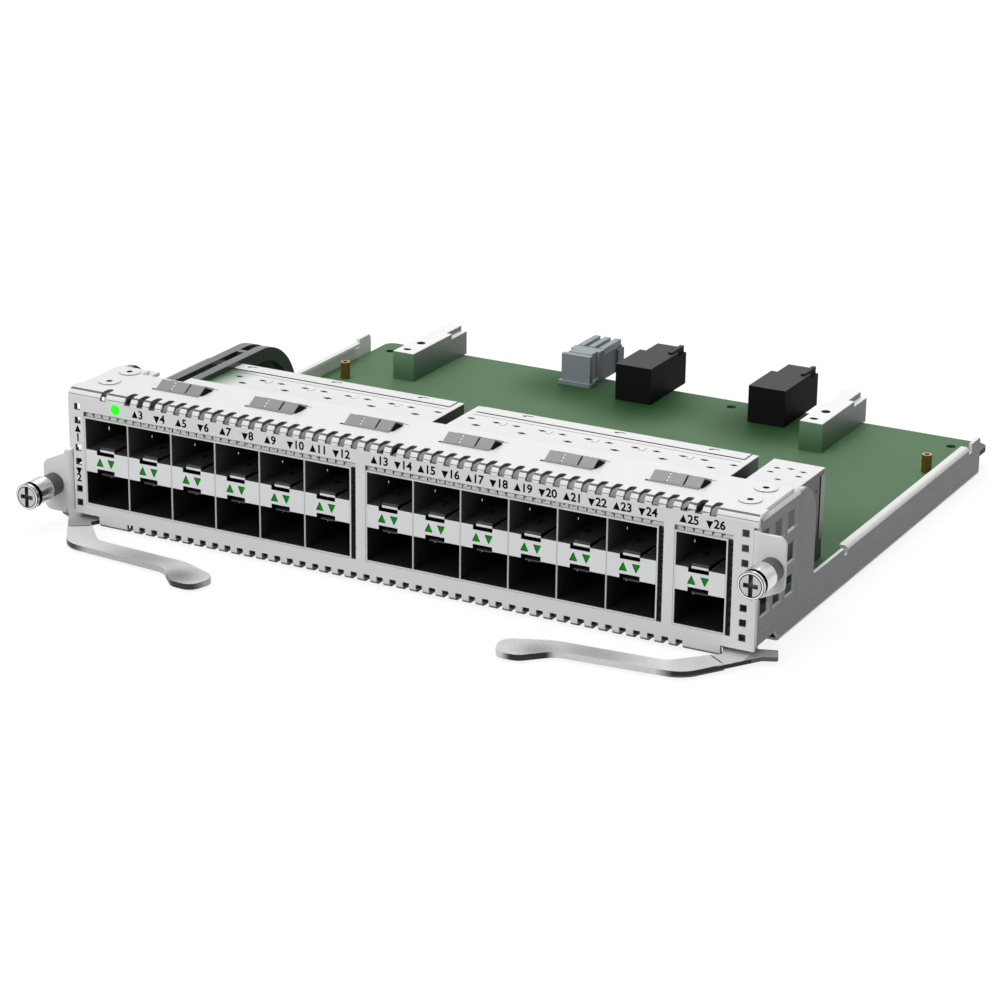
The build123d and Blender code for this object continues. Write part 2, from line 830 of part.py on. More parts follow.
def make_gasket(name, left, columns):
    """Sprung fingers round the top and both sides of a cage, just behind the panel."""
    width = cage_width(columns)
    with BuildPart() as gasket:
        with BuildSketch(front_plane(tray_front)):
            with Locations((left + width / 2, board_top + (cage_height + gasket_thickness) / 2)):
                Rectangle(width + 2 * gasket_thickness, cage_height + gasket_thickness)
            with Locations((left + width / 2, board_top + cage_height / 2)):
                Rectangle(width, cage_height, mode=Mode.SUBTRACT)
        extrude(amount=-gasket_depth)
        top_gaps = int((width - finger_gap) / finger_pitch)
        side_gaps = int((cage_height - finger_gap) / finger_pitch)
        outer_left = left - gasket_thickness
        outer_right = left + width + gasket_thickness
        spring = gasket_thickness - gasket_web
        with BuildSketch(front_plane(tray_front - sheet)):
            for index in range(top_gaps):
                place = left + width / 2 + finger_pitch * (index - (top_gaps - 1) / 2)
                with Locations((place, cage_top + gasket_thickness)):
                    Rectangle(finger_gap, 2 * spring)
            for index in range(side_gaps):
                place = board_top + cage_height / 2 + finger_pitch * (index - (side_gaps - 1) / 2)
                with Locations((outer_left, place), (outer_right, place)):
                    Rectangle(2 * spring, finger_gap)
        extrude(amount=-(gasket_depth + 2 * sheet), mode=Mode.SUBTRACT)
    finish(gasket.part, name + "_gasket")


for name, left, columns in cages:
    make_cage_shell(name, left, columns)
    if columns > 1:
        make_dividers(name, left, columns)
    make_separators(name, left, columns)
    make_light_pipes(name, left, columns)
    make_port_connectors(name, left, columns)
    make_gasket(name, left, columns)


# EMI spring clips, bent from thin sheet like small roofs
def make_clip(index):
    """One clip: two slopes over flat feet, parted by two narrow gaps."""
    start = clip_first + clip_pitch * index - panel_half - clip_length / 2
    with BuildPart() as clip:
        with BuildSketch(side_plane(start)):
            with BuildLine():
                FilletPolyline(
                    (clip_front - 1, panel_height + clip_sheet), (clip_front, panel_height + clip_sheet),
                    (clip_ridge, panel_height + clip_rise), (clip_back, panel_height + clip_sheet),
                    (clip_back + 1, panel_height + clip_sheet),
                    radius=clip_sheet + 0.1,
                )
                offset(amount=clip_sheet, side=Side.RIGHT)
            make_face()
        extrude(amount=clip_length)
        third = (clip_length - 2 * clip_gap) / 3
        for gap in range(2):
            low_x = start + third + gap * (third + clip_gap)
            box_cut(
                (low_x, clip_front - 0.5, panel_height - clip_sheet),
                (low_x + clip_gap, clip_back + 2, panel_height + clip_rise + clip_sheet),
            )
    finish(clip.part, "spring_clip_" + str(index + 1))


for index in range(clip_count):
    make_clip(index)


# Status lens and the forked light pipe that arches down to the board
lens_x = lens_from_edge - panel_half
with BuildPart() as lens:
    with BuildSketch(front_plane()):
        with Locations((lens_x, lens_height)):
            Circle(lens_radius)
    extrude(amount=-pipe_front)
    dome = Plane(origin=(lens_x, 0, lens_height), x_dir=(1, 0, 0), z_dir=(0, -1, 0))
    with BuildSketch(dome):
        Circle(lens_radius)
    extrude(amount=lens_proud, taper=35)
    with BuildSketch(front_plane(tray_front)):
        with Locations((lens_x, lens_height)):
            Circle(lens_radius + 0.5)
    extrude(amount=-sheet / 2)
finish(lens.part, "status_lens")


with BuildPart() as light_pipe:
    top = cage_top + pipe_thickness
    inner_bar = lens_x - pipe_bar_width / 2
    outer_bar = inner_bar - pipe_bar_gap - pipe_bar_width
    arch_end = arch_start + arch_radius
    arch_inner = arch_radius - arch_thickness
    for bar, front in ((inner_bar, pipe_front), (outer_bar, pipe_rise_end)):
        with BuildSketch(side_plane(bar)):
            with BuildLine():
                if front < pipe_rise_end:
                    raised = lens_height + pipe_thickness / 2
                    FilletPolyline(
                        (front, raised), (pipe_rise_start, raised), (pipe_rise_end, top), (arch_start, top),
                        radius=1.0,
                    )
                    FilletPolyline(
                        (front, raised), (front, raised - pipe_thickness),
                        (pipe_rise_start, raised - pipe_thickness), (pipe_rise_end, cage_top),
                        (cage_depth, cage_top),
                        radius=[0.2, 1.0, 1.0],
                    )
                else:
                    Line((front, top), (arch_start, top))
                    Polyline((front, top), (front, cage_top), (cage_depth, cage_top))
                under = top - arch_thickness
                Polyline((cage_depth, cage_top), (cage_depth + 2, under), (arch_start, under))
                JernArc((arch_start, top), (1, 0), arch_radius, -90)
                JernArc((arch_start, top - arch_thickness), (1, 0), arch_inner, -90)
                Line((arch_end, top - arch_radius), (arch_end, board_top))
                leg_inner = arch_end - arch_thickness
                Line((leg_inner, top - arch_radius), (leg_inner, board_top))
                Line((leg_inner, board_top), (arch_end, board_top))
            make_face()
        extrude(amount=pipe_bar_width)
    # bridges that tie the two bars together
    for start, end in bridge_ends[:2]:
        with BuildSketch(Plane.XY.offset(cage_top)):
            with Locations((inner_bar - pipe_bar_gap / 2, (start + end) / 2)):
                Rectangle(pipe_bar_gap, end - start)
        extrude(amount=pipe_thickness)
    # thin web along the inner side of the arch
    with BuildSketch(side_plane(outer_bar + pipe_bar_width - 0.8)):
        with BuildLine():
            half_thickness = arch_thickness / 2
            web_end = arch_end - half_thickness
            Line((arch_start, top - half_thickness), (arch_start, board_top))
            JernArc((arch_start, top - half_thickness), (1, 0), arch_radius - half_thickness, -90)
            Line((web_end, top - arch_radius), (web_end, board_top))
            Line((arch_start, board_top), (web_end, board_top))
        make_face()
    extrude(amount=0.8)
finish(light_pipe.part, "status_light_pipe")


# Guide blocks, bored for the backplane's guide pins
def make_guide_block(side_name, centre):
    rear = guide_front + guide_length
    top = board_top + guide_height
    with BuildPart() as block:
        with BuildSketch(Plane.XY.offset(board_top)):
            with Locations((centre, guide_front + guide_length / 2)):
                Rectangle(guide_width, guide_length)
        extrude(amount=guide_height)
        chamfer(block.faces().sort_by(Axis.Z)[-1].edges(), guide_edge)
        box_cut(
            (
                centre + guide_width / 2 - guide_ledge_width,
                rear - guide_ledge_length, top - guide_ledge_drop,
            ),
            (centre + guide_width, rear + 1, top + 1),
        )
        with BuildSketch(front_plane(rear)):
            with Locations((centre, board_top + guide_height / 2)):
                Circle(guide_bore_radius)
        extrude(amount=guide_bore_depth, mode=Mode.SUBTRACT)
        for back, radius, depth in guide_holes:
            with BuildSketch(Plane.XY.offset(top - depth)):
                with Locations((centre, guide_front + back)):
                    Circle(radius)
            extrude(amount=depth + 1, mode=Mode.SUBTRACT)
    finish(block.part, side_name + "_guide_block")


make_guide_block("left", left_guide)
make_guide_block("right", right_guide)

# Power connector: a body on a flared foot, with three raised rails over its rear
with BuildPart() as power:
    power_x = power_place[0]
    power_y = board_end - power_place[1]
    width, length, height = power_size
    power_rear = power_y + length
    shoulder = board_top + height - power_shoulder
    groove_start, groove_end = power_side_groove
    with BuildSketch(Plane.XY.offset(board_top)):
        with Locations((power_x, power_y + length / 2)):
            Rectangle(width, length)
    extrude(amount=height - power_shoulder)
    # the foot at the front, and the rim round the rear
    with BuildSketch(Plane.XY.offset(board_top)):
        with Locations((power_x, power_y + 1.2)):
            Rectangle(width + 1.6, 4.0)
    extrude(amount=1.2)
    with BuildSketch(Plane.XY.offset(board_top)):
        with Locations((power_x, power_rear - 2.0)):
            Rectangle(width + 2 * power_rear_rim, 4.0)
    extrude(amount=height - power_shoulder - 0.7)
    # upper block, then the rails
    rail_width = width / 5
    with BuildSketch(Plane.XY.offset(shoulder)):
        with Locations((power_x, power_y + 5.0)):
            Rectangle(width, 10.0)
        rail_spacing = (width - rail_width) / 2 - 0.35
        with Locations(*[(power_x + step * rail_spacing, power_y + length / 2) for step in (-1, 0, 1)]):
            Rectangle(rail_width, length)
    extrude(amount=power_shoulder)
    # shallow grooves across the top, and upright ones in the sides
    for start in (2.0, 10.0):
        box_cut(
            (power_x - width, power_y + start, board_top + height - 0.5),
            (power_x + width / 2 - 1.0, power_y + start + 0.8, board_top + height + 1),
        )
    for side in (-1, 1):
        inner = power_x + side * (width / 2 - power_side_depth)
        outer = power_x + side * width
        box_cut(
            (min(inner, outer), power_y + groove_start, board_top + 1.2),
            (max(inner, outer), power_y + groove_end, board_top + height + 1),
        )
    slot = (width - 2 * contact_wall) / 3
    with BuildSketch(front_plane(power_rear)):
        with Locations((power_x, board_top + (height - power_shoulder) / 2)):
            with GridLocations(slot, 1, 3, 1):
                Rectangle(slot - contact_wall, height - power_shoulder - 2 * contact_wall)
    extrude(amount=contact_slot_depth, mode=Mode.SUBTRACT)
finish(power.part, "power_connector")


def make_data_connector(side_name, place):
    """A tall black backplane connector with upright contact slots in its rear."""
    x = place[0]
    y = board_end - place[1]
    width, length, height = data_size
    top = board_top + height
    rear = y + length
    right_side = x + width / 2
    with BuildPart() as connector:
        with BuildSketch(Plane.XY.offset(board_top)):
            with Locations((x, y + length / 2)):
                Rectangle(width, length)
        extrude(amount=height)
        # a keying step at the rear left, and a ridge beside a lower step at the rear right
        box_cut((x - width, rear - 8.7, top - 2.5), (x - width / 2 + 2.05, rear + 1, top + 1))
        box_cut((right_side - 0.85, rear - 6.0, top - 1.4), (right_side + 1, rear + 1, top + 1))
        with BuildSketch(Plane.XY.offset(top - 1.4)):
            with Locations((right_side - 1.5, rear - 4.5)):
                Rectangle(1.3, 9.0)
        extrude(amount=2.1)
        pitch = (width - 2 * contact_wall) / contact_slots
        with BuildSketch(front_plane(rear)):
            with Locations((x, board_top + height / 2 - 0.9)):
                with GridLocations(pitch, 1, contact_slots, 1):
                    Rectangle(contact_slot_width, height - 4 * contact_wall)
        extrude(amount=contact_slot_depth, mode=Mode.SUBTRACT)
    finish(connector.part, side_name + "_data_connector")


make_data_connector("left", data_places[0])
make_data_connector("right", data_places[1])


# Thumbscrews: a ferrule swaged into the ear holds the screw and its ring captive
def make_thumbscrew(side_name, x, z):
    def axis_plane(depth):
        """A plane across the screw's axis at this depth behind the ear's front, facing forward."""
        return Plane(origin=(x, depth - ear_forward, z), x_dir=(1, 0, 0), z_dir=(0, -1, 0))

    tail_radius = ferrule_radius - ferrule_wall / 2
    cavity = ferrule_radius - ferrule_wall
    mouth = shank_radius + shank_gap
    with BuildPart() as ferrule:
        with BuildSketch(axis_plane(0)):
            Circle(ferrule_radius)
        extrude(amount=knob_back + ferrule_lip)
        with BuildSketch(axis_plane(sheet)):
            Circle(tail_radius)
        extrude(amount=sheet)
        with BuildSketch(axis_plane(sheet)):
            Circle(mouth)
        extrude(amount=knob_front, mode=Mode.SUBTRACT)
        with BuildSketch(axis_plane(sheet - ferrule_tail)):
            Circle(cavity)
        extrude(amount=knob_back + sheet - ferrule_tail, mode=Mode.SUBTRACT)
    finish(ferrule.part, side_name + "_ferrule")

    ring_front = -knob_back + ring_gap
    with BuildPart() as ring:
        with BuildSketch(axis_plane(ring_front + ring_thickness)):
            Circle(cavity - ring_gap)
            Circle(shank_radius + pin_gap, mode=Mode.SUBTRACT)
        extrude(amount=ring_thickness)
    finish(ring.part, side_name + "_retaining_ring")

    # knob: turned, with a rim, a groove behind it and a hollow rear that slides over the ferrule
    with BuildPart() as knob:
        with BuildSketch(axis_plane(-knob_back)):
            Circle(knob_radius)
        extrude(amount=knob_front - knob_back)
        with BuildSketch(axis_plane(-knob_front + rim_length + groove_length)):
            Circle(knob_radius)
            Circle(knob_radius - groove_depth, mode=Mode.SUBTRACT)
        extrude(amount=groove_length, mode=Mode.SUBTRACT)
        with BuildSketch(axis_plane(-knob_back)):
            Circle(knob_radius - knob_wall)
        extrude(amount=screw_stroke + ferrule_lip + ring_gap, mode=Mode.SUBTRACT)
        with BuildSketch(axis_plane(-knob_back)):
            Circle(shank_radius)
        extrude(amount=knob_front, mode=Mode.SUBTRACT)
        with BuildSketch(axis_plane(-knob_front + recess_depth + 1)):
            Circle(screw_head_radius + screw_head_gap)
        extrude(amount=knob_front, mode=Mode.SUBTRACT)
        front_edge = knob.edges().filter_by(GeomType.CIRCLE).group_by(Axis.Y)[0].sort_by(SortBy.RADIUS)[-1]
        chamfer(front_edge, 0.2)
    finish(knob.part, side_name + "_thumbscrew_knob")

    with BuildPart() as screw:
        with BuildSketch(axis_plane(shank_end)):
            Circle(shank_radius)
        extrude(amount=shank_end + knob_front - recess_depth)
        with BuildSketch(axis_plane(-knob_front + recess_depth + 1)):
            Circle(screw_head_radius)
        extrude(amount=recess_depth + 1)
        with BuildSketch(axis_plane(-knob_front + recess_depth)):
            Rectangle(recess_width, recess_long)
            Rectangle(recess_short, recess_width)
        extrude(amount=recess_depth + 1, mode=Mode.SUBTRACT)
        tip = screw.edges().filter_by(GeomType.CIRCLE).group_by(Axis.Y)[-1]
        chamfer(tip, 0.3)
    finish(screw.part, side_name + "_captive_screw")


screw_x = tray_half + ear_reach - screw_inset
make_thumbscrew("left", -screw_x, left_screw_height)
make_thumbscrew("right", screw_x, right_screw_height)


# Ejector levers: a leaf-shaped finger end, a bar, and a stepped root with a claw
def make_ejector(side_name, side):
    pivot_x = side * (panel_half - pivot_inset)

    def lever_outline():
        """The whole lever seen from above, drawn for the right hand and mirrored for the left."""
        corners = [
            (59.5, -21.7, 6.0), (52.3, -28.9, 4.2), (45.6, -29.3, 3.7), (43.2, -20.8, 4.0),
            (56.0, -15.4, 20.0), (86.6, -13.2, 5.0), (96.9, -2.0, 1.0), (94.9, 2.4, 1.8),
            (94.6, 9.8, 3.9), (102.6, 9.8, 3.2), (102.6, 5.0, 1.0), (108.2, 7.2, 0.6),
            (110.1, 2.8, 0.6), (106.3, 1.0, 0.5), (93.4, -18.8, 9.0),
        ]
        # the drawing's X counts from the centre of a panel with this half width
        drawn_half = 104.5
        shift = panel_half - drawn_half
        points = [(side * (x + shift), y) for x, y, radius in corners]
        FilletPolyline(*points, radius=[radius for x, y, radius in corners], close=True)

    root_base = lever_base + lever_step
    root_top = lever_base + lever_thickness - root_drop
    with BuildPart() as lever:
        with BuildSketch(Plane.XY.offset(lever_base)):
            with BuildLine():
                lever_outline()
            make_face()
        extrude(amount=lever_thickness)
        # beyond a line across its neck the root is thinner, above and below
        step_line = [(91.9, -2.5), (102.7, -10.1), (140.0, -10.1), (140.0, 30.0), (91.9, 30.0)]
        for level, rise in ((lever_base, lever_step), (root_top, root_drop)):
            with BuildSketch(Plane.XY.offset(level)):
                with BuildLine():
                    Polyline(*[(side * x, y) for x, y in step_line], close=True)
                make_face()
            extrude(amount=rise, mode=Mode.SUBTRACT)
        with BuildSketch(Plane.XY.offset(lever_base)):
            with Locations((pivot_x, pivot_depth)):
                Circle(pin_radius + pin_gap)
        extrude(amount=2 * lever_thickness, mode=Mode.SUBTRACT)
        with BuildSketch(Plane.XY.offset(lever_base)):
            with Locations((pivot_x, pivot_depth)):
                Circle(pin_head_radius + pin_gap)
        extrude(amount=lever_step + pin_head + pin_gap, mode=Mode.SUBTRACT)
    finish(lever.part, side_name + "_ejector")

    bracket_base = root_top + bracket_gap
    bracket_middle = side * (tray_inner - bracket_side_gap - bracket_width / 2)
    with BuildPart() as bracket:
        with BuildSketch(side_plane(bracket_middle - bracket_width / 2)):
            with BuildLine():
                FilletPolyline(
                    (bracket_front, bracket_base), (lever_notch_depth - 2, bracket_base),
                    (lever_notch_depth + 2, sheet), (bracket_end, sheet),
                    radius=1.0,
                )
                offset(amount=bracket_thickness, side=Side.LEFT)
            make_face()
        extrude(amount=bracket_width)
        with BuildSketch(Plane.XY.offset(bracket_base - 1)):
            with Locations((pivot_x, pivot_depth)):
                Circle(pin_radius)
        extrude(amount=bracket_thickness + 2, mode=Mode.SUBTRACT)
    finish(bracket.part, side_name + "_ejector_bracket")

    with BuildPart() as pin:
        with BuildSketch(Plane.XY.offset(root_base)):
            with Locations((pivot_x, pivot_depth)):
                Circle(pin_radius)
        extrude(amount=bracket_base + bracket_thickness - root_base)
        with BuildSketch(Plane.XY.offset(root_base)):
            with Locations((pivot_x, pivot_depth)):
                Circle(pin_head_radius)
        extrude(amount=pin_head)
    finish(pin.part, side_name + "_ejector_pin")


make_ejector("left", -1)
make_ejector("right", 1)
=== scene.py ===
import bpy, bmesh, math
from mathutils import Matrix, Vector


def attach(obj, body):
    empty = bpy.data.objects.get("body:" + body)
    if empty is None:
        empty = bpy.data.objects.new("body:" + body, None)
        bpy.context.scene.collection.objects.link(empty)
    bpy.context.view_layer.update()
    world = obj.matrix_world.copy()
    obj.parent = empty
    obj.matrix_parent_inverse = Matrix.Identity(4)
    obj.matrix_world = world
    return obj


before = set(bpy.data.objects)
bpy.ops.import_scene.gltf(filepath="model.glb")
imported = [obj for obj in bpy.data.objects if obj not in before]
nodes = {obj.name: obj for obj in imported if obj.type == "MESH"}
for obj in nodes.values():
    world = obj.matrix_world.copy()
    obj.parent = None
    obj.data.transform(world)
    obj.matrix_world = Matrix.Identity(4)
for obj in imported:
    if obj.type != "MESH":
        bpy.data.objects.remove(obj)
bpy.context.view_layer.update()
mm = 0.001
print("frame loaded,", len(nodes), "nodes")

# places that several pieces share, in millimetres, as the solids have them
card = {
    "flangeTop": 39.7, "roofTop": 32.1, "boardTop": 6.3, "separatorLow": 16.2, "separatorHigh": 22.65,
    "portPitch": 14.25, "firstWall": 0.25, "cageDepth": 63.1,
    "leftCage": -99.4, "middleCage": -8.9, "rightCage": 81.6, "wideCage": 86.0, "narrowCage": 14.75,
}
# each cage's left side, width and number of columns
cages = [(card["leftCage"], card["wideCage"], 6), (card["middleCage"], card["wideCage"], 6),
         (card["rightCage"], card["narrowCage"], 1)]
beyond = 200  # further out than any piece, for the open sides of a zone


def tone(red, green, blue):  # screen colour 0 to 255 into the linear colour a shader takes
    def one(value):
        value = value / 255
        return value / 12.92 if value <= 0.04045 else ((value + 0.055) / 1.055) ** 2.4
    return (one(red), one(green), one(blue), 1)


# shader groups
def startGroup(name, inputs, outputs):
    tree = bpy.data.node_groups.new(name, "ShaderNodeTree")
    for label, kind, value in inputs:
        socket = tree.interface.new_socket(name=label, in_out="INPUT", socket_type=kind)
        socket.default_value = value
    for label, kind in outputs:
        tree.interface.new_socket(name=label, in_out="OUTPUT", socket_type=kind)
    return tree, tree.nodes.new("NodeGroupInput"), tree.nodes.new("NodeGroupOutput")


def addNode(tree, kind, values=(), **settings):  # a node with its plain settings and unlinked sockets
    node = tree.nodes.new(kind)
    for key, value in settings.items():
        setattr(node, key, value)
    for socket, value in values:
        node.inputs[socket].default_value = value
    return node


def addFold(tree, start, here):  # X as it stands, or its size where Fold is one
    size = addNode(tree, "ShaderNodeMath", operation="ABSOLUTE")
    folded = addNode(tree, "ShaderNodeMix", data_type="FLOAT")
    tree.links.new(here.outputs["X"], size.inputs[0])
    tree.links.new(start.outputs["Fold"], folded.inputs[0])
    tree.links.new(here.outputs["X"], folded.inputs[2])
    tree.links.new(size.outputs[0], folded.inputs[3])
    return folded.outputs[0]


def makeGrainGroup():  # rolled sheet: fine short streaks, and broad soft patches
    tree, start, end = startGroup("sheetGrain", [
        ("Scale", "NodeSocketFloat", 900.0), ("Stretch", "NodeSocketVector", (1.0, 1.0, 1.0)),
    ], [("Streaks", "NodeSocketFloat"), ("Patches", "NodeSocketFloat"), ("Height", "NodeSocketFloat")])
    link = tree.links.new
    place = addNode(tree, "ShaderNodeTexCoord")
    stretch = addNode(tree, "ShaderNodeVectorMath", operation="MULTIPLY")
    fine = addNode(tree, "ShaderNodeTexNoise", [("Detail", 3.0), ("Roughness", 0.6)])
    broad = addNode(tree, "ShaderNodeTexNoise", [("Scale", 38.0), ("Detail", 2.0), ("Roughness", 0.5)])
    mixed = addNode(tree, "ShaderNodeMath", [(1, 0.25)], operation="MULTIPLY")
    height = addNode(tree, "ShaderNodeMath", operation="ADD")
    link(place.outputs["Object"], stretch.inputs[0])
    link(start.outputs["Stretch"], stretch.inputs[1])
    link(stretch.outputs[0], fine.inputs["Vector"])
    link(start.outputs["Scale"], fine.inputs["Scale"])
    link(place.outputs["Object"], broad.inputs["Vector"])
    link(broad.outputs["Fac"], mixed.inputs[0])
    link(fine.outputs["Fac"], height.inputs[0])
    link(mixed.outputs[0], height.inputs[1])
    link(fine.outputs["Fac"], end.inputs["Streaks"])
    link(broad.outputs["Fac"], end.inputs["Patches"])
    link(height.outputs[0], end.inputs["Height"])
    return tree


def makeZoneGroup():  # one inside a box of the card, nought outside; Fold mirrors the box in X
    tree, start, end = startGroup("zoneMask", [
        ("Low", "NodeSocketVector", (0.0, 0.0, 0.0)), ("High", "NodeSocketVector", (1.0, 1.0, 1.0)),
        ("Fold", "NodeSocketFloat", 0.0),
    ], [("Mask", "NodeSocketFloat")])
    link = tree.links.new
    place = addNode(tree, "ShaderNodeTexCoord")
    here = addNode(tree, "ShaderNodeSeparateXYZ")
    low = addNode(tree, "ShaderNodeSeparateXYZ")
    high = addNode(tree, "ShaderNodeSeparateXYZ")
    link(place.outputs["Object"], here.inputs[0])
    link(start.outputs["Low"], low.inputs[0])
    link(start.outputs["High"], high.inputs[0])
    total = None
    sources = (("X", addFold(tree, start, here)), ("Y", here.outputs["Y"]), ("Z", here.outputs["Z"]))
    for axis, source in sources:
        for bound, operation in ((low, "GREATER_THAN"), (high, "LESS_THAN")):
            test = addNode(tree, "ShaderNodeMath", operation=operation)
            link(source, test.inputs[0])
            link(bound.outputs[axis], test.inputs[1])
            if total is None:
                total = test.outputs[0]
            else:
                both = addNode(tree, "ShaderNodeMath", operation="MULTIPLY")
                link(total, both.inputs[0])
                link(test.outputs[0], both.inputs[1])
                total = both.outputs[0]
    link(total, end.inputs["Mask"])
    return tree


def makeFadeGroup():  # falls from one to nought between two distances from a point; Fold mirrors it in X
    tree, start, end = startGroup("softFade", [
        ("Centre", "NodeSocketVector", (0.0, 0.0, 0.0)), ("Squash", "NodeSocketVector", (1.0, 1.0, 1.0)),
        ("Near", "NodeSocketFloat", 0.0), ("Far", "NodeSocketFloat", 0.01), ("Fold", "NodeSocketFloat", 0.0),
    ], [("Mask", "NodeSocketFloat")])
    link = tree.links.new
    place = addNode(tree, "ShaderNodeTexCoord")
    here = addNode(tree, "ShaderNodeSeparateXYZ")
    joined = addNode(tree, "ShaderNodeCombineXYZ")
    away = addNode(tree, "ShaderNodeVectorMath", operation="SUBTRACT")
    squash = addNode(tree, "ShaderNodeVectorMath", operation="MULTIPLY")
    length = addNode(tree, "ShaderNodeVectorMath", operation="LENGTH")
    span = addNode(tree, "ShaderNodeMapRange", [("To Min", 1.0), ("To Max", 0.0)],
                   interpolation_type="SMOOTHSTEP")
    link(place.outputs["Object"], here.inputs[0])
    link(addFold(tree, start, here), joined.inputs["X"])
    link(here.outputs["Y"], joined.inputs["Y"])
    link(here.outputs["Z"], joined.inputs["Z"])
    link(joined.outputs[0], away.inputs[0])
    link(start.outputs["Centre"], away.inputs[1])
    link(away.outputs[0], squash.inputs[0])
    link(start.outputs["Squash"], squash.inputs[1])
    link(squash.outputs[0], length.inputs[0])
    link(length.outputs["Value"], span.inputs["Value"])
    link(start.outputs["Near"], span.inputs["From Min"])
    link(start.outputs["Far"], span.inputs["From Max"])
    link(span.outputs["Result"], end.inputs["Mask"])
    return tree


grainGroup, zoneGroup, fadeGroup = makeGrainGroup(), makeZoneGroup(), makeFadeGroup()
print("shader groups made")


def zone(low, high, colour, **more):  # a box of the card with a colour of its own
    return {"low": low, "high": high, "colour": tone(*colour), **more}


def fade(centre, near, far, colour, **more):  # a colour that is full within near and gone at far
    return {"centre": centre, "near": near, "far": far, "colour": tone(*colour), **more}


def inMetres(place):
    return tuple(v * mm for v in place)


def addPaint(tree, mask, colour, last):  # blends a colour in through a mask
    paint = addNode(tree, "ShaderNodeMix", [(7, colour)], data_type="RGBA")
    tree.links.new(mask.outputs["Mask"], paint.inputs[0])
    tree.links.new(last, paint.inputs[6])
    return paint


def addFade(tree, spot, last):  # blends a colour in round one place
    mask = addNode(tree, "ShaderNodeGroup", [
        ("Centre", inMetres(spot["centre"])), ("Squash", spot.get("squash", (1.0, 1.0, 1.0))),
        ("Near", spot["near"] * mm), ("Far", spot["far"] * mm), ("Fold", spot.get("fold", 0.0)),
    ], node_tree=fadeGroup)
    return addPaint(tree, mask, spot["colour"], last).outputs[2]


def addZone(tree, box, last):  # blends a colour in over one box, which may hold fades of its own
    mask = addNode(tree, "ShaderNodeGroup", [
        ("Low", inMetres(box["low"])), ("High", inMetres(box["high"])), ("Fold", box.get("fold", 0.0)),
    ], node_tree=zoneGroup)
    paint = addPaint(tree, mask, box["colour"], last)
    if box.get("fades"):
        own = addNode(tree, "ShaderNodeMix", [(0, 1.0), (6, box["colour"]), (7, box["colour"])],
                      data_type="RGBA")
        shade = own.outputs[2]
        for spot in box["fades"]:
            shade = addFade(tree, spot, shade)
        tree.links.new(shade, paint.inputs[7])
    return paint.outputs[2]


def finish(name, look):
    # look: colour, rough, metal, scale, stretch, vary, bump, edge, coat, ior, glow, speckle,
    # and the zones, then the fades, then the zones that lie over them
    material = bpy.data.materials.new(name)
    material.use_nodes = True
    tree = material.node_tree
    link = tree.links.new
    shader = tree.nodes["Principled BSDF"]
    grain = addNode(tree, "ShaderNodeGroup", [
        ("Scale", look.get("scale", 900.0)), ("Stretch", look.get("stretch", (1.0, 1.0, 1.0))),
    ], node_tree=grainGroup)

    colour, vary = look["colour"][:3], look.get("vary", 0.04)
    darker = tuple(c * (1 - vary) for c in colour) + (1,)
    lighter = tuple(min(1.0, c * (1 + vary)) for c in colour) + (1,)
    patchy = addNode(tree, "ShaderNodeMix", [(6, darker), (7, lighter)], data_type="RGBA")
    link(grain.outputs["Patches"], patchy.inputs[0])
    last = patchy.outputs[2]
    for box in look.get("zones", []):
        last = addZone(tree, box, last)
    for spot in look.get("fades", []):
        last = addFade(tree, spot, last)
    for box in look.get("over", []):
        last = addZone(tree, box, last)
    if look.get("speckle"):  # a fine grain over every colour beneath it
        speckle = addNode(tree, "ShaderNodeMapRange", [
            ("From Min", 0.3), ("From Max", 0.7),
            ("To Min", 1 - look["speckle"]), ("To Max", 1 + look["speckle"])])
        dusted = addNode(tree, "ShaderNodeVectorMath", operation="SCALE")
        link(grain.outputs["Streaks"], speckle.inputs["Value"])
        link(last, dusted.inputs[0])
        link(speckle.outputs["Result"], dusted.inputs["Scale"])
        last = dusted.outputs[0]
    link(last, shader.inputs["Base Color"])

    roughVary = look.get("roughVary", 0.06)
    rough = addNode(tree, "ShaderNodeMapRange", [
        ("From Min", 0.3), ("From Max", 0.7),
        ("To Min", max(0.02, look["rough"] - roughVary)), ("To Max", min(1.0, look["rough"] + roughVary))])
    link(grain.outputs["Streaks"], rough.inputs["Value"])
    link(rough.outputs["Result"], shader.inputs["Roughness"])

    bump = addNode(tree, "ShaderNodeBump", [("Strength", look.get("bump", 0.05)), ("Distance", 0.0002)])
    link(grain.outputs["Height"], bump.inputs["Height"])
    if look.get("edge"):
        soft = addNode(tree, "ShaderNodeBevel", [("Radius", look["edge"] * mm)], samples=4)
        link(soft.outputs[0], bump.inputs["Normal"])
    link(bump.outputs[0], shader.inputs["Normal"])

    shader.inputs["Metallic"].default_value = look.get("metal", 0.0)
    shader.inputs["Coat Weight"].default_value = look.get("coat", 0.0)
    shader.inputs["IOR"].default_value = look.get("ior", 1.45)
    if look.get("glow"):
        shader.inputs["Emission Color"].default_value = look["glow"]
        shader.inputs["Emission Strength"].default_value = look.get("glowStrength", 1.0)
    return material


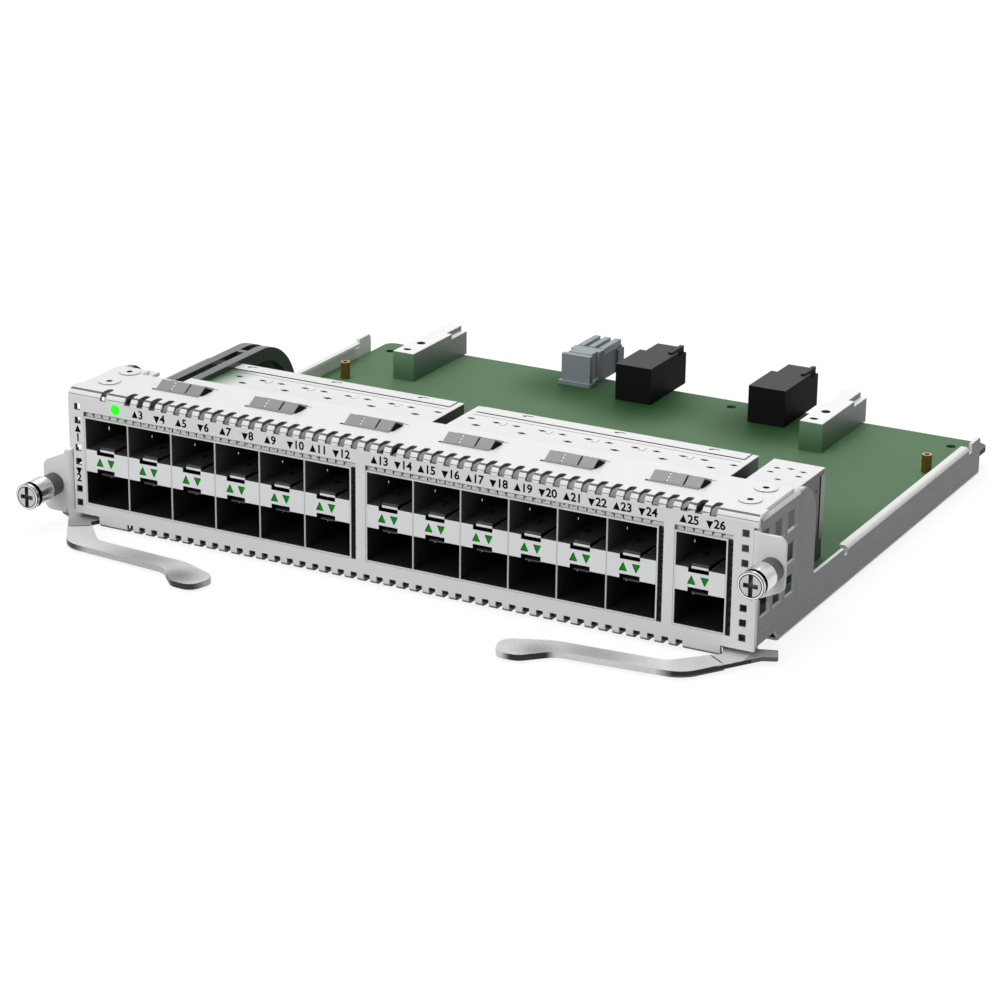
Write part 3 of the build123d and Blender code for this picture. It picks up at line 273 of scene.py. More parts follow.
# finishes, one entry each; zones and fades are in millimetres on the card
shadowTone = (46, 48, 46)
leverShade = [  # painted shade on the curved stretches of the levers' sides, which turn away from the light
    fade((96.5, -8.5, 1.2), 11.5, 15.5, (14, 14, 14), fold=1.0),
    fade((54.0, -26.5, 1.2), 4.4, 7.4, (24, 24, 24)),
    fade((-51.0, -27.5, 1.2), 5.0, 8.0, (40, 40, 40)),
]
leverSheen = [  # painted sheen: darker and brighter stretches along the levers' tops, with a painted highlight
    fade((69.0, -18.5, 2.2), 1.0, 9.0, (202, 203, 204), squash=(0.6, 1.0, 1.0), fold=1.0),
    fade((55.5, -23.5, 2.2), 0.5, 8.0, (194, 196, 197)),
    fade((-52.5, -25.5, 2.2), 0.5, 9.0, (166, 168, 169)),
    fade((85.0, -14.5, 2.2), 0.5, 5.0, (255, 255, 255), fold=1.0),
]
# painted shade over the knobs' front faces, with a painted highlight ring at the rim and a painted dark line
# inside it
knobFace = {"out": 109.1, "front": -14.7, "ring": (3.46, 3.52), "edge": (3.1, 3.16)}
knobFaceShading = []
for side, height in ((-1, 11.15), (1, 27.1)):
    centre = (side * knobFace["out"], knobFace["front"], height)
    knobFaceShading.append(zone(
        (min(0, side * beyond), -14.8, -10), (max(0, side * beyond), -14.52, 60), (48, 48, 49),
        fades=[fade(centre, *knobFace["ring"], (238, 238, 238), squash=(1.0, 0.0, 1.0)),
               fade(centre, *knobFace["edge"], (44, 44, 45), squash=(1.0, 0.0, 1.0))]))
looks = {
    "panelWhite": {
        "colour": tone(242, 242, 242), "rough": 0.46, "vary": 0.01, "bump": 0.015, "edge": 0.08,
        "scale": 1400.0,
        "zones": [
            zone((-104, 1.0, 0.5), (104, 24, 38.75), shadowTone),  # painted shade on the inner faces
            zone((-104.2, 1.0, 38.6), (104.2, 5.2, 39.62), (100, 101, 100)),  # painted shade on the walls of the slots
            zone((-104.3, 0.12, 1.1), (104.3, 1.01, 38.3), (108, 109, 108)),  # painted shade on the walls of the openings
            zone((-103.5, 0.12, 0.02), (103.5, 24, 0.97), (92, 92, 93)),  # painted shade on the walls of the notches
            zone((-beyond, 4, 39.72), (beyond, 24, 39.93), (92, 92, 92))]},  # painted shade on the rims of the bosses
    "trayGrey": {
        "colour": tone(240, 240, 240), "rough": 0.42, "vary": 0.02, "bump": 0.02, "edge": 0.08,
        "stretch": (1.0, 0.15, 1.0),
        # painted shade on the outer faces of the side walls, and on the inner faces
        "zones": [zone((104.43, 1.6, 0.5), (104.47, 170, 38.0), (114, 115, 117), fold=1.0),
                  zone((0, 1.5, 0.9), (103.47, 40, 37.75), shadowTone, fold=1.0)]},
    "bracketGrey": {"colour": tone(120, 121, 122), "rough": 0.42, "vary": 0.02, "bump": 0.02, "edge": 0.08},
    "clipSteel": {"colour": tone(142, 143, 144), "rough": 0.4, "metal": 0.2, "vary": 0.02, "bump": 0.02,
                  "edge": 0.06},
    "gasketSteel": {"colour": tone(238, 238, 238), "rough": 0.4, "metal": 0.1, "vary": 0.03, "bump": 0.02,
                    # painted shade on the fingers below the roof
                    "zones": [zone((-beyond, 0, 0), (beyond, 60, 31.9), (46, 46, 46))]},
    "leverSteel": {
        "colour": tone(222, 223, 224), "rough": 0.36, "metal": 0.2, "vary": 0.05, "bump": 0.1, "edge": 0.1,
        "scale": 2600.0, "roughVary": 0.04, "speckle": 0.13, "fades": leverShade,
        "zones": [zone((-beyond, -60, -1), (0, 30, 2.17), (190, 191, 192))],  # painted shade on the left lever's side
        "over": [
            zone((-beyond, -60, 2.17), (beyond, 30, 3), (248, 249, 250), fades=leverSheen),  # painted light on the tops, with the painted sheen
            zone((91.9, -10.1, 1.97), (beyond, 30, 2.1), (240, 241, 242), fold=1.0),  # painted light on the tops of the roots
            # painted shade on the left root's top
            zone((-104, -10.1, 1.97), (-91.9, 30, 2.1), (176, 178, 180)),
            zone((104.6, -20, 0), (beyond, 30, 1.96), (92, 92, 93), fold=1.0),  # painted shade on the sides of the claws
            zone((-beyond, -60, 0.48), (beyond, 30, 0.52), (215, 216, 217)),  # undersides
            zone((0, -20, 0.78), (beyond, 30, 0.82), (215, 216, 217), fold=1.0),
            # painted shade on the claws' tops under the panel's corner
            zone((103.2, -20, 1.96), (beyond, 30, 2.3), (190, 190, 191), fold=1.0)]},
    "knobMetal": {
        "colour": tone(222, 222, 223), "rough": 0.22, "metal": 0.9, "vary": 0.01, "bump": 0.0, "edge": 0.05,
        "stretch": (0.2, 1.0, 0.2), "scale": 2500.0, "roughVary": 0.02,
        # painted shade in the groove behind the front rim
        "zones": [zone((-beyond, -13.72, -10), (beyond, -12.38, 60), (20, 20, 20))] + knobFaceShading},
    "headSteel": {"colour": tone(212, 213, 214), "rough": 0.42, "metal": 0.3, "vary": 0.01, "bump": 0.01,
                  # painted shade on the head behind its front face
                  "zones": [zone((-beyond, -14.65, -10), (beyond, 5, 60), (92, 92, 94))]},
    "screwSteel": {"colour": tone(196, 197, 198), "rough": 0.3, "metal": 0.7, "vary": 0.03, "bump": 0.03,
                   "edge": 0.1},
    "sleeveDark": {"colour": tone(88, 88, 90), "rough": 0.5, "metal": 0.2, "vary": 0.03, "bump": 0.02,
                   "edge": 0.08},
    "boardGreen": {
        "colour": tone(98, 130, 98), "rough": 0.72, "vary": 0.03, "bump": 0.03, "scale": 1800.0, "ior": 1.25,
        "zones": [zone((-beyond, 1, 4.8), (beyond, 176.25, 6.2), (66, 80, 55))],  # the board's edges
        "fades": [  # painted shade: darker behind the cages and round the connectors
            fade((-20.0, 72.0, 6.3), 2.0, 40.0, (72, 106, 73), squash=(0.1, 1.0, 1.0)),
            fade((-29.5, 164.5, 6.3), 2.0, 26.0, (48, 82, 48)),
            fade((-4.0, 160.0, 6.3), 4.0, 30.0, (38, 74, 38)),
            fade((40.5, 160.0, 6.3), 4.0, 30.0, (38, 74, 38))]},
    "plasticBlack": {
        "colour": tone(25, 26, 25), "rough": 0.6, "vary": 0.05, "bump": 0.05, "scale": 2200.0, "edge": 0.06,
        "ior": 1.13,
        "zones": [zone((-20, 150, height - 0.02), (60, 190, height + 0.02), (82, 82, 83))
                  for height in (17.9, 18.6)]  # painted light on the tops of the body and of its rear key
        # painted shade on the right sides
        + [zone((side - 0.02, 150, 6), (side + 0.1, 190, 17.85), (10, 10, 10)) for side in (-0.55, 44.0)]},
    "portPlastic": {"colour": tone(24, 24, 25), "rough": 0.5, "vary": 0.1, "bump": 0.05, "scale": 2200.0,
                    "ior": 1.3},
    "plasticGrey": {
        "colour": tone(160, 169, 174), "rough": 0.55, "vary": 0.02, "bump": 0.04, "scale": 2200.0,
        "edge": 0.06, "ior": 1.3,
        # painted shade on two front faces and on the right side
        "zones": [zone((-40, 165.48, 6), (-20, 165.52, 17), (146, 154, 158)),
                  zone((-40, 164.68, 6), (-20, 164.72, 17), (140, 148, 152)),
                  zone((-24.56, 164, 6), (-20, 190, 16.1), (110, 117, 121))]},
    "guideWhite": {  # the guides' tops are white; painted shade darkens their sides, and a painted reflection of the board's green tints their lower and front faces
        "colour": tone(120, 126, 122), "rough": 0.45, "vary": 0.01, "bump": 0.02, "scale": 1500.0,
        "edge": 0.05,
        "fades": [fade((0, 143, 6.3), 1.0, 9.0, (66, 96, 68), squash=(0.0, 0.16, 1.0))],
        "over": [zone((-90, 143, 6), (70, 143.25, 16), (118, 150, 120),
                      fades=[fade((0, 143, 6.3), 0.5, 9.5, (70, 112, 76), squash=(0.0, 0.0, 1.0))]),
                 zone((-90, 142, 15.33), (70, 180, 16), (253, 253, 253)),
                 zone((-90, 160, 13.795), (70, 180, 13.82), (253, 253, 253))]},
    "postBrass": {"colour": tone(140, 108, 50), "rough": 0.3, "metal": 0.8, "vary": 0.05, "bump": 0.03,
                  "edge": 0.08},
    "lampGreen": {"colour": tone(14, 158, 20), "rough": 0.3, "vary": 0.05, "bump": 0.02,
                  # painted shade on the pipes behind their front tips
                  "zones": [zone((-beyond, 0.38, 0), (beyond, 70, 40), (16, 18, 16))]},
    "windowGreen": {"colour": tone(12, 152, 14), "rough": 0.4, "vary": 0.03, "bump": 0.0, "ior": 1.2},
    # painted shadow round the lit triangles
    "windowShadowGreen": {"colour": tone(14, 62, 14), "rough": 0.5, "vary": 0.03, "bump": 0.0, "ior": 1.2},
    "lensGreen": {"colour": tone(30, 235, 8), "rough": 0.3, "vary": 0.02, "bump": 0.02,
                  "glow": tone(0, 255, 0), "glowStrength": 0.6},
    "pipeSmoke": {
        "colour": tone(66, 68, 67), "rough": 0.3, "vary": 0.02, "bump": 0.0, "coat": 0.2,
        # painted shade on the inner faces of the pipe's arch
        "zones": [zone((side, 0, 6), (side + 0.13, 110, 40), (38, 46, 39)) for side in (-93.03, -87.33)],
        # painted green glow on the pipe near its front
        "fades": [fade((-92, 2, 35), 6, 24, (40, 150, 20))]},
    "inkBlack": {"colour": tone(10, 10, 10), "rough": 0.7, "vary": 0.02, "bump": 0.0, "ior": 1.1},
    "slotBlack": {"colour": tone(24, 24, 25), "rough": 0.7, "vary": 0.02, "bump": 0.0, "ior": 1.1},
    "seamGrey": {"colour": tone(112, 112, 113), "rough": 0.6, "vary": 0.05, "bump": 0.0},
    "paleHighlight": {"colour": tone(240, 241, 242), "rough": 0.35, "vary": 0.01, "bump": 0.0},
    # painted shade on the latch lips, with a painted highlight along their lower front
    "lipHighlight": {"colour": tone(60, 60, 61), "rough": 0.35, "vary": 0.01, "bump": 0.0,
                 "zones": [zone((-beyond, 0, 22), (beyond, 5, 22.8), (254, 254, 254))]},
    "dimpleMetal": {"colour": tone(245, 246, 247), "rough": 0.16, "metal": 1.0, "vary": 0.01, "bump": 0.0},
    # painted highlights along the edges in the upper floor
    "edgeHighlight": {"colour": tone(150, 151, 152), "rough": 0.4, "vary": 0.1, "bump": 0.0},
    "contactGold": {"colour": tone(196, 160, 84), "rough": 0.3, "metal": 0.9, "vary": 0.04, "bump": 0.03},
    "dividerSteel": {
        "colour": tone(206, 206, 206), "rough": 0.45, "vary": 0.03, "bump": 0.02,
        # painted shade inside the ports, deeper in the lower ones
        "zones": [zone((-beyond, 0.25, 0), (beyond, 70, 40), (74, 74, 75)),
                  zone((-beyond, 0.25, 0), (beyond, 70, card["separatorLow"]), (40, 40, 41))]},
    "separatorSteel": {
        "colour": tone(246, 248, 249), "rough": 0.42, "vary": 0.012, "bump": 0.015,
        # painted shade behind the front edge, in tones that differ by place
        "zones": [zone((-beyond, 0.05, 0), (beyond, 70, 40), (34, 34, 35)),
                  zone((-beyond, 0.05, card["separatorHigh"] - 0.02), (beyond, 70, 26), (74, 74, 75)),
                  zone((-beyond, 0.8, 10), (beyond, 2.0, card["separatorLow"] - 0.4), (64, 64, 64))]},
}

# the cages: painted shade on the lining, which lies in its own shadow behind the front edge, and on the outer
# sides
cageLook = {"inset": 0.1, "front": 0.25, "roofSheet": 0.2,
            "sideLow": 6.4, "sideHigh": 31.95, "sideRear": 62.9}
# painted shade tinted green on the left cage's roof beside the light pipe
greenShade = fade((-90.0, 62.0, 32.0), 4, 14, (70, 110, 66), squash=(1.0, 0.28, 1.0))
for side, (left, width, columns) in zip(("left", "middle", "right"), cages):
    inset, front, right = cageLook["inset"], cageLook["front"], left + width
    rearTop = (right - inset, card["cageDepth"] - inset, card["roofTop"] - cageLook["roofSheet"])
    looks[side + "CageWhite"] = {
        "colour": tone(238, 238, 238), "rough": 0.42, "vary": 0.008, "bump": 0.015, "edge": 0.06,
        "scale": 1400.0,
        "zones": [
            zone((left + inset, front, card["boardTop"] + inset), rearTop, (36, 36, 37)),  # painted shade inside the lower ports
            zone((left + inset, front, card["separatorHigh"]), rearTop, (72, 72, 73)),  # painted shade inside the upper ports
            # painted shade on the outer sides
            zone((left - 1, 0.1, cageLook["sideLow"]),
                 (left + 0.02, cageLook["sideRear"], cageLook["sideHigh"]), (66, 72, 67)),
            zone((right - 0.02, 0.1, cageLook["sideLow"]),
                 (right + 1, cageLook["sideRear"], cageLook["sideHigh"]), (72, 74, 73))],
        "fades": [greenShade] if side == "left" else []}
materials = {name: finish(name, look) for name, look in looks.items()}
print("materials made:", len(materials))

# which finish each solid of the frame wears
nodeFinishes = {
    "front_panel": "panelWhite", "tray": "trayGrey", "circuit_board": "boardGreen",
    "board_standoffs": "screwSteel", "board_screws": "screwSteel", "brass_posts": "postBrass",
    "panel_rivets": "screwSteel", "status_lens": "lensGreen", "status_light_pipe": "pipeSmoke",
    "left_guide_block": "guideWhite", "right_guide_block": "guideWhite", "power_connector": "plasticGrey",
    "left_data_connector": "plasticBlack", "right_data_connector": "plasticBlack",
}
for side in ("left", "middle", "right"):
    nodeFinishes[side + "_cage"] = side + "CageWhite"
    nodeFinishes[side + "_cage_dividers"] = "dividerSteel"
    nodeFinishes[side + "_port_separators"] = "separatorSteel"
    nodeFinishes[side + "_light_pipes"] = "lampGreen"
    nodeFinishes[side + "_port_connectors"] = "portPlastic"
    nodeFinishes[side + "_gasket"] = "gasketSteel"
for side in ("left", "right"):
    nodeFinishes[side + "_ferrule"] = "sleeveDark"
    nodeFinishes[side + "_retaining_ring"] = "screwSteel"
    nodeFinishes[side + "_thumbscrew_knob"] = "knobMetal"
    nodeFinishes[side + "_captive_screw"] = "headSteel"
    nodeFinishes[side + "_ejector"] = "leverSteel"
    nodeFinishes[side + "_ejector_bracket"] = "bracketGrey"
    nodeFinishes[side + "_ejector_pin"] = "screwSteel"
for index in range(6):
    nodeFinishes["spring_clip_" + str(index + 1)] = "clipSteel"
for name, node in nodes.items():
    node.data.materials.clear()
    node.data.materials.append(materials[nodeFinishes[name]])
print("frame dressed")


# making pieces
def keepPiece(name, mesh, finishName, body="card"):
    # turns a finished bmesh into an object at the origin that rides with the card, or with another body
    data = bpy.data.meshes.new(name)
    mesh.normal_update()
    mesh.to_mesh(data)
    mesh.free()
    piece = bpy.data.objects.new(name, data)
    bpy.context.scene.collection.objects.link(piece)
    piece.data.materials.append(materials[finishName])
    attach(piece, body)


def addBlock(mesh, low, high, bevel=0.0):  # a box between two corners in millimetres
    low, high = Vector(low) * mm, Vector(high) * mm
    made = bmesh.ops.create_cube(mesh, size=1.0, matrix=Matrix.Translation((low + high) / 2)
                                 @ Matrix.Diagonal((*(high - low), 1.0)))
    if bevel:
        edges = {edge for vertex in made["verts"] for edge in vertex.link_edges}
        bmesh.ops.bevel(mesh, geom=list(edges), offset=bevel * mm, segments=2, affect="EDGES", profile=0.5,
                        material=-1)


def addPlate(mesh, low, high, level, lift, bevel=0.0):  # a thin flat block, from two corners seen from above
    addBlock(mesh, (*low, level), (*high, level + lift), bevel)


def addDisc(mesh, centre, radius, depth, squash=(1.0, 1.0, 1.0), segments=20, turn=None):  # a short cylinder
    matrix = (Matrix.Translation(Vector(centre) * mm) @ (turn or Matrix.Identity(4))
              @ Matrix.Diagonal((*squash, 1.0)))
    bmesh.ops.create_cone(mesh, cap_ends=True, segments=segments, radius1=radius * mm, radius2=radius * mm,
                          depth=depth * mm, matrix=matrix)


standUp = Matrix.Rotation(math.radians(90), 4, "X")  # stands a flat shape up against the panel's face


def addTriangle(mesh, place, radius, depth, up, tall, drop=0.0):  # its point up, or down
    turn = standUp @ Matrix.Rotation(0 if up else math.pi, 4, "Z") @ Matrix.Diagonal((1.0, tall, 1.0, 1.0))
    matrix = Matrix.Translation(Vector(place) * mm) @ turn @ Matrix.Translation((0, -drop * mm, 0))
    bmesh.ops.create_cone(mesh, cap_ends=True, segments=3, radius1=radius * mm, radius2=radius * mm,
                          depth=depth * mm, matrix=matrix)


# numbers over the ports, with an arrow for the upper and the lower one
numbering = {
    "height": 3.25, "bold": 0.085, "lift": 0.03, "row": 35.3, "nudge": 0.15, "arrow": 1.16, "tall": 1.2,
    "shift": 1.95, "wideShift": 0.85,  # from an arrow to its number, and further for two figures
    "rows": ((-82.3, 7.14, 3, 10), (-6.3, 7.14, 13, 12), (83.8, 7.3, 25, 2)),  # start, step, first, count
    "sideColumn": -101.6, "sideHeights": ((27.9, 25.5), (16.0, 13.7)),  # of each arrow and number
}


def addArrow(mesh, x, z, up):
    lift = numbering["lift"]
    addTriangle(mesh, (x, -lift / 2, z), numbering["arrow"], lift, up, numbering["tall"])


def addNumber(mesh, text, x, z):  # built-in font, made a mesh, then set on the panel's face
    curve = bpy.data.curves.new("number", "FONT")
    curve.body = text
    curve.size = numbering["height"] * mm
    curve.offset = numbering["bold"] * mm
    curve.align_x, curve.align_y = "CENTER", "CENTER"
    curve.resolution_u = 3
    holder = bpy.data.objects.new("number", curve)
    bpy.context.scene.collection.objects.link(holder)
    flat = bpy.data.meshes.new_from_object(holder)
    flat.transform(Matrix.Translation((x * mm, -numbering["lift"] * mm, z * mm)) @ standUp)
    mesh.from_mesh(flat)
    bpy.data.objects.remove(holder)
    bpy.data.curves.remove(curve)
    bpy.data.meshes.remove(flat)


numbers, arrows = bmesh.new(), bmesh.new()
row, nudge = numbering["row"], numbering["nudge"]
for start, step, first, count in numbering["rows"]:
    for index in range(count):
        x, up = start + step * index, index % 2 == 0
        addArrow(arrows, x, row + (-1 if up else 1) * nudge, up)
        wide = numbering["wideShift"] if first + index > 9 else 0.0
        addNumber(numbers, str(first + index), x + numbering["shift"] + wide, row + nudge)
for index, (arrowHeight, numberHeight) in enumerate(numbering["sideHeights"]):
    addArrow(arrows, numbering["sideColumn"], arrowHeight, index == 0)
    addNumber(numbers, str(index + 1), numbering["sideColumn"], numberHeight)
keepPiece("portNumbers", numbers, "inkBlack")
keepPiece("portArrows", arrows, "inkBlack")
print("numbering made")

# stamped details of the cage roofs: slots, small corner marks, a lapped rear plate and its seams
roofDetail = {
    "slotRow": 52.5, "slotSize": (0.95, 0.52), "before": -3.15, "after": 3.15, "lastShift": 0.7, "lift": 0.03,
    "slotEnds": (1.25, 0.45), "slotMiddle": 0.75, "middleSquash": 0.85, "middleLift": 1.1,
    "holeRow": 47.8, "holeSize": (1.05, 0.6), "hole": 7.15,
    "markRow": 51.0, "markLift": 0.025,
    "marks": (((-1.5, 0.0), (-0.1, 0.18)), ((-0.28, 0.1), (-0.1, 2.6)), ((-1.6, 0.1), (-1.42, 0.7))),
    "lapStart": 58.4, "lapHeight": 0.12, "lapInset": 2.2, "lapBevel": 0.04, "lapOver": 0.1,
    "frontLine": 0.45, "frontLift": 0.08, "sideLine": 0.32, "sideLift": 0.06,
    "grooveRow": 55.9, "grooveHalf": 0.12, "grooveEnds": (0.2, 0.4), "grooveLift": 0.02,
    "rearRow": 61.6, "rearShift": 1.1, "rearLift": 0.15,
    "rearCuts": (((-0.5, -0.8), (0.6, -0.1)), ((0.2, -0.1), (2.6, 0.25))),
    "singleSize": (0.8, 0.42),
    "singleSlots": ((3.35, 52.7), (3.7, 56.4), (7.26, 57.4), (11.2, 56.5), (11.45, 52.7), (7.43, 48.0)),
}
top = card["roofTop"]
slots, seams, laps = bmesh.new(), bmesh.new(), bmesh.new()


def roofSlot(x, y, size):  # a narrow slot with a rounder middle
    lift = roofDetail["lift"]
    long, narrow = (length * share for length, share in zip(size, roofDetail["slotEnds"]))
    addPlate(slots, (x - long, y - narrow), (x + long, y + narrow), top, lift)
    addDisc(slots, (x, y, top + lift / 2), size[0] * roofDetail["slotMiddle"],
            lift * roofDetail["middleLift"], squash=(1.0, roofDetail["middleSquash"], 1.0), segments=14)


def roofShapes(mesh, x, y, corners, lift):  # flat shapes given by two corners each, round one place
    for low, high in corners:
        addPlate(mesh, (x + low[0], y + low[1]), (x + high[0], y + high[1]), top, lift)


def roofLap(left, right):  # the lapped rear plate, the shadow lines round it and the groove before it
    start, rear, line = roofDetail["lapStart"], card["cageDepth"], roofDetail["sideLine"]
    over = roofDetail["lapOver"]
    addPlate(laps, (left, start), (right, rear), top, roofDetail["lapHeight"], roofDetail["lapBevel"])
    addPlate(slots, (left - over, start - roofDetail["frontLine"]), (right + over, start), top,
             roofDetail["frontLift"])
    addPlate(slots, (right, start - line), (right + line, rear), top, roofDetail["sideLift"])
    row, half, ends = roofDetail["grooveRow"], roofDetail["grooveHalf"], roofDetail["grooveEnds"]
    addPlate(seams, (left - ends[0], row - half), (right + ends[1], row + half), top,
             roofDetail["grooveLift"])


for left, width, columns in cages:
    if columns == 1:
        for x, y in roofDetail["singleSlots"]:
            roofSlot(left + x, y, roofDetail["singleSize"])
        continue
    walls = [left + card["firstWall"] + card["portPitch"] * index for index in range(columns + 1)]
    for index, wall in enumerate(walls):
        if index > 0:
            last = roofDetail["lastShift"] if index == columns else 0
            roofSlot(wall + roofDetail["before"] + last, roofDetail["slotRow"], roofDetail["slotSize"])
        if 0 < index < columns:
            roofShapes(seams, wall, roofDetail["markRow"], roofDetail["marks"], roofDetail["markLift"])
        if index < columns:
            roofSlot(wall + roofDetail["after"], roofDetail["slotRow"], roofDetail["slotSize"])
            roofSlot(wall + roofDetail["hole"], roofDetail["holeRow"], roofDetail["holeSize"])
    roofLap(left + roofDetail["lapInset"], left + width - roofDetail["lapInset"])
    for index in range(1, columns, 2):
        roofShapes(slots, walls[index] + roofDetail["rearShift"], roofDetail["rearRow"],
                   roofDetail["rearCuts"], roofDetail["rearLift"])
keepPiece("roofSlots", slots, "slotBlack")
keepPiece("roofSeams", seams, "seamGrey")
keepPiece("roofLaps", laps, "middleCageWhite")
print("cage roofs detailed")

# painted shade as a dark hollow under each spring clip, running past its end as a painted shadow on the
# flange, with dark wedges at its front; the short cuts in the flange round it; and painted highlights as pale
# dashes
clipDetail = {
    "first": -75.55, "pitch": 30.3, "count": 6, "front": 11.5, "ridge": 14.5, "back": 18.0, "rise": 1.55,
    "hollows": ((-6.9, -2.8), (-2.1, 2.1), (2.8, 7.6)), "frontInset": 0.3, "backInset": 0.35,
    "cuts": (-2.9, 5.3), "cutLength": 3.2, "cutRow": 18.9, "cutHalf": 0.16, "cutLift": 0.02,
    "wedges": (-8.15, 1.9), "wedgeWidth": 1.05, "wedgeRows": (10.5, 11.4), "wedgeLift": 0.05,
    "dashes": ((0.06, 0.3), (0.38, 0.64), (0.72, 0.96)), "dashShift": -2.43, "dashWide": 0.46,
    "dashLift": 0.17, "dashRise": 0.1, "dashThick": 0.09,
}
hollows, cuts, dashes = bmesh.new(), bmesh.new(), bmesh.new()
level = card["flangeTop"]


def addHollow(start, length):  # a three-sided dark bar of painted shade under the clip's roof
    profile = ((clipDetail["front"] + clipDetail["frontInset"], level),
               (clipDetail["ridge"], level + clipDetail["rise"]),
               (clipDetail["back"] - clipDetail["backInset"], level))
    face = hollows.faces.new([hollows.verts.new((start * mm, y * mm, z * mm)) for y, z in profile])
    made = bmesh.ops.extrude_face_region(hollows, geom=[face])
    moved = [item for item in made["geom"] if isinstance(item, bmesh.types.BMVert)]
    bmesh.ops.translate(hollows, vec=(length * mm, 0, 0), verts=moved)


for index in range(clipDetail["count"]):
    middle = clipDetail["first"] + clipDetail["pitch"] * index
    for low, high in clipDetail["hollows"]:
        addHollow(middle + low, high - low)
    row, half = clipDetail["cutRow"], clipDetail["cutHalf"]
    for start in clipDetail["cuts"]:
        addPlate(cuts, (middle + start, row - half), (middle + start + clipDetail["cutLength"], row + half),
                 level, clipDetail["cutLift"])
    low, high = clipDetail["wedgeRows"]
    for start in clipDetail["wedges"]:
        addPlate(hollows, (middle + start, low), (middle + start + clipDetail["wedgeWidth"], high), level,
                 clipDetail["wedgeLift"])
    # the painted highlight dashes lie between two springs, tilted as the clip's front slope is
    run, climb = clipDetail["ridge"] - clipDetail["front"], clipDetail["rise"] + clipDetail["dashRise"]
    tilt = Matrix.Rotation(math.atan2(climb, run), 4, "X")
    for low, high in clipDetail["dashes"]:
        part = (low + high) / 2
        place = Vector((middle + clipDetail["dashShift"], clipDetail["front"] + run * part,
                        level + clipDetail["dashLift"] + climb * part))
        size = Vector((clipDetail["dashWide"], math.hypot(run, climb) * (high - low),
                       clipDetail["dashThick"]))
        bmesh.ops.create_cube(dashes, size=1.0, matrix=Matrix.Translation(place * mm) @ tilt
                              @ Matrix.Diagonal((*(size * mm), 1.0)))
bmesh.ops.recalc_face_normals(hollows, faces=hollows.faces)
keepPiece("clipHollows", hollows, "slotBlack")
keepPiece("clipCuts", cuts, "seamGrey")
keepPiece("clipHighlightDashes", dashes, "paleHighlight")
print("clips detailed")

# contact blades in the rear slots of the backplane connectors
contacts = {
    "data": ((-6.55, 185.0), (38.0, 185.4)), "columns": 5, "pitch": 1.96, "rows": 4, "heights": (8.4, 14.0),
    "half": (0.17, 0.35), "reach": (5.8, 1.2), "bevel": 0.06,
    "power": (-29.5, 188.2), "powerBlades": 3, "powerPitch": 2.583, "powerHeights": (8.4, 12.4),
    "powerHalf": 0.35, "powerReach": (5.8, 1.4), "powerBevel": 0.1,
}
blades = bmesh.new()
low, high = contacts["heights"]
halfWide, halfTall = contacts["half"]
deep, near = contacts["reach"]
for x, rear in contacts["data"]:
    for column in range(contacts["columns"]):
        place = x + (column - (contacts["columns"] - 1) / 2) * contacts["pitch"]
        for row in range(contacts["rows"]):
            z = low + (high - low) * row / (contacts["rows"] - 1)
            addBlock(blades, (place - halfWide, rear - deep, z - halfTall),
                     (place + halfWide, rear - near, z + halfTall), contacts["bevel"])
x, rear = contacts["power"]
low, high = contacts["powerHeights"]
deep, near = contacts["powerReach"]
for column in range(contacts["powerBlades"]):
    place = x + (column - (contacts["powerBlades"] - 1) / 2) * contacts["powerPitch"]
    addBlock(blades, (place - contacts["powerHalf"], rear - deep, low),
             (place + contacts["powerHalf"], rear - near, high), contacts["powerBevel"])
keepPiece("rearContacts", blades, "contactGold")
print("contacts made")

# dark discs of painted shade in the holes of the flange's four bosses
sockets = {"x": 97.55, "rows": (10.2, 20.2), "radius": 0.84, "level": 39.78, "depth": 1.0}
plugs = bmesh.new()
for side in (-1, 1):
    for row in sockets["rows"]:
        centre = (side * sockets["x"], row, sockets["level"] - sockets["depth"] / 2)
        addDisc(plugs, centre, sockets["radius"], sockets["depth"])
keepPiece("bossSockets", plugs, "slotBlack")

# thin dark ticks where the gaskets' fingers part, and the shadow line over them
tickDetail = {
    "pitch": 2.6, "gap": 0.7, "width": 0.2, "front": 1.02, "deep": 0.16, "low": 31.9, "high": 33.3,
    "room": 1.45, "line": 0.14, "lineDeep": 0.2, "lineStart": 0.1,
    "sideCount": 9, "sideFirst": 8.6, "sideStep": 2.72, "sideTall": 0.3, "sideReach": (0.35, 1.1),
    "sideFront": (0.72, 0.9),
}
ticks, lines = bmesh.new(), bmesh.new()
windowTop = card["roofTop"] + tickDetail["room"]
for left, width, columns in cages:
    right = left + width
    count = int((width - tickDetail["gap"]) / tickDetail["pitch"])
    half, front = tickDetail["width"] / 2, tickDetail["front"]
    for index in range(count):
        x = left + width / 2 + tickDetail["pitch"] * (index - (count - 1) / 2)
        addBlock(ticks, (x - half, front, tickDetail["low"]),
                 (x + half, front + tickDetail["deep"], tickDetail["high"]))
    addBlock(lines, (left - tickDetail["lineStart"], 0.0, windowTop - tickDetail["line"]),
             (right + tickDetail["room"], tickDetail["lineDeep"], windowTop))
    # the side strip has the same ticks, one over the other
    near, far = tickDetail["sideReach"]
    front, back = tickDetail["sideFront"]
    for index in range(tickDetail["sideCount"]):
        z = tickDetail["sideFirst"] + tickDetail["sideStep"] * index
        addBlock(ticks, (right + near, front, z), (right + far, back, z + tickDetail["sideTall"]))
keepPiece("gasketTicks", ticks, "slotBlack")
keepPiece("windowLines", lines, "seamGrey")

